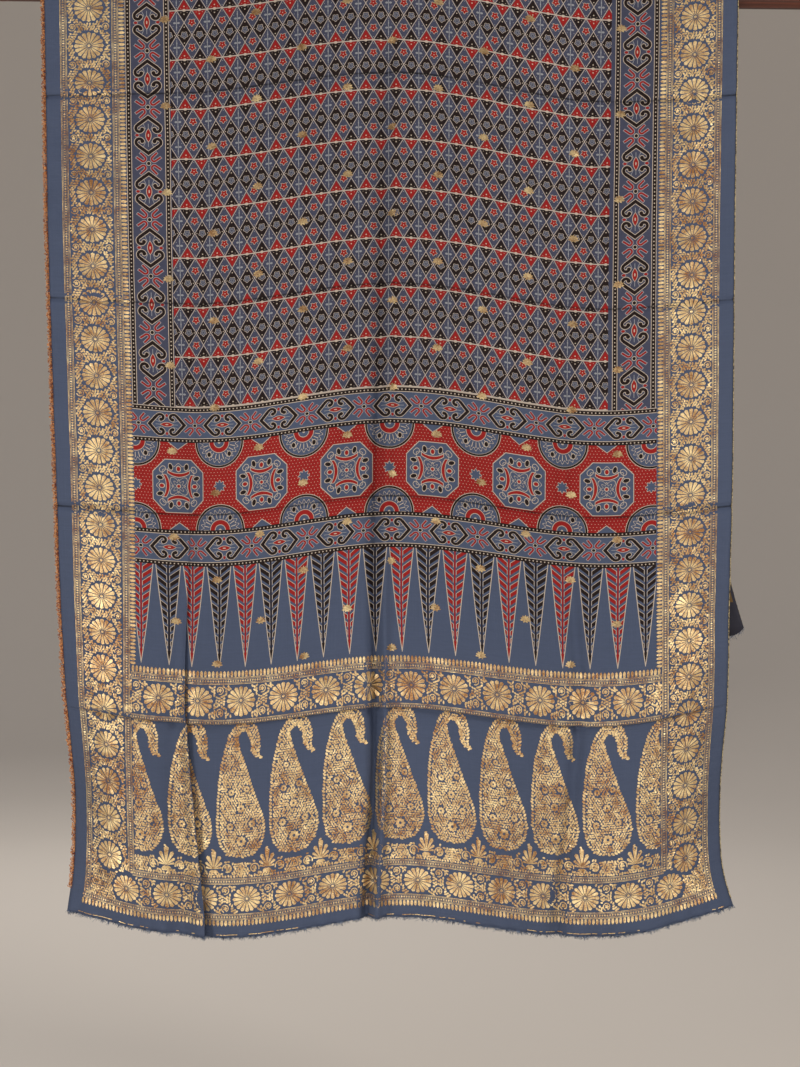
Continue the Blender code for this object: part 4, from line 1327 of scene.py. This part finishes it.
frayed = thread_material("Frayed blue threads", screen("2f3a4e"), screen("6d7c96"), 260.0, 0.0, 0.85)
for end, walk_at in (("front", 0.0), ("back", CLOTH_LENGTH)):
    rng = np.random.default_rng(FRINGE_SEED)
    count = FRINGE_COUNTS[end]
    across = np.sort(rng.uniform(0.0, CLOTH_WIDTH, count))
    places = along_weft(across, walk_at)
    root = on_cloth(places, 0.0)
    face = on_cloth(places, 1.0) - root
    clumps = 0.5 + 0.25 * np.sin(across * 230.0 + 2.0 * np.sin(across * 61.0)) + 0.25 * np.sin(across * 610.0)
    length = rng.uniform(*FRINGE_LENGTHS[end], count) * (0.35 + 0.75 * clumps)
    sway = rng.normal(0.0, 0.45, (count, 2))
    t = np.linspace(0.0, 1.0, FRINGE_STEPS)[None, :, None]
    fall = np.zeros((count, 3))
    fall[:, 0], fall[:, 1], fall[:, 2] = sway[:, 0] * length, sway[:, 1] * length * 0.6, -length
    bent = np.zeros((count, 3))
    bent[:, 0] = rng.normal(0.0, 0.3, count) * length
    strands = root[:, None] + (0, 0, 0.0015) + fall[:, None] * t + bent[:, None] * t * t
    points, faces = threads(strands, FRINGE_THREAD * (1.15 - 0.5 * t[..., 0]),
                            np.tile((0.0, 1.0, 0.02), (count, 1)))
    fringe = new_piece("frayed_threads_" + end, points, faces, frayed)
    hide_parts("hem_fringe_" + end)

HEM_LINE = 0.0045
rng = np.random.default_rng(29)
dashes = np.arange(0.02, CLOTH_WIDTH - 0.02, 0.0052)
dashes = dashes[rng.random(len(dashes)) < 0.45 + 0.4 * np.sin(dashes * 23.0)]
gold_piece("gold_hem_line", [placed(BAR, along_weft(dashes, HEM_LINE), rng.normal(0.0, 0.05, len(dashes)),
                                    rng.uniform(0.003, 0.007, len(dashes)), 0.0011)])

# Rod. Plain round hardwood, stained dark and rubbed smooth; the cloth hides all but its ends.
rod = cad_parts["rod"]
wood = bpy.data.materials.new("Dark stained wood")
wood.use_nodes = True
tree = wood.node_tree
place, mapping, grain = (tree.nodes.new("ShaderNode" + kind) for kind in ("TexCoord", "Mapping",
                                                                          "TexNoise"))
mapping.inputs["Scale"].default_value = (3.0, 90.0, 90.0)
grain.inputs["Scale"].default_value = 1.0
grain.inputs["Detail"].default_value = 6.0
grain.inputs["Distortion"].default_value = 0.4
tree.links.new(place.outputs["Object"], mapping.inputs["Vector"])
tree.links.new(mapping.outputs["Vector"], grain.inputs["Vector"])
streak = (Reading(tree, grain.outputs[0]) - 0.35) * 2.6
blend = tree.nodes.new("ShaderNodeMix")
blend.data_type = "RGBA"
blend.inputs["A"].default_value, blend.inputs["B"].default_value = screen("2a120b"), screen("6a3320")
tree.links.new(streak.socket, blend.inputs["Factor"])
shader = tree.nodes["Principled BSDF"]
tree.links.new(blend.outputs["Result"], shader.inputs["Base Color"])
bump = tree.nodes.new("ShaderNodeBump")
bump.inputs["Strength"].default_value = 0.25
bump.inputs["Distance"].default_value = 0.0006
tree.links.new(grain.outputs[0], bump.inputs["Height"])
tree.links.new(bump.outputs["Normal"], shader.inputs["Normal"])
tree.links.new((0.5 - streak * 0.12).socket, shader.inputs["Roughness"])
rod.data.materials.clear()
rod.data.materials.append(wood)
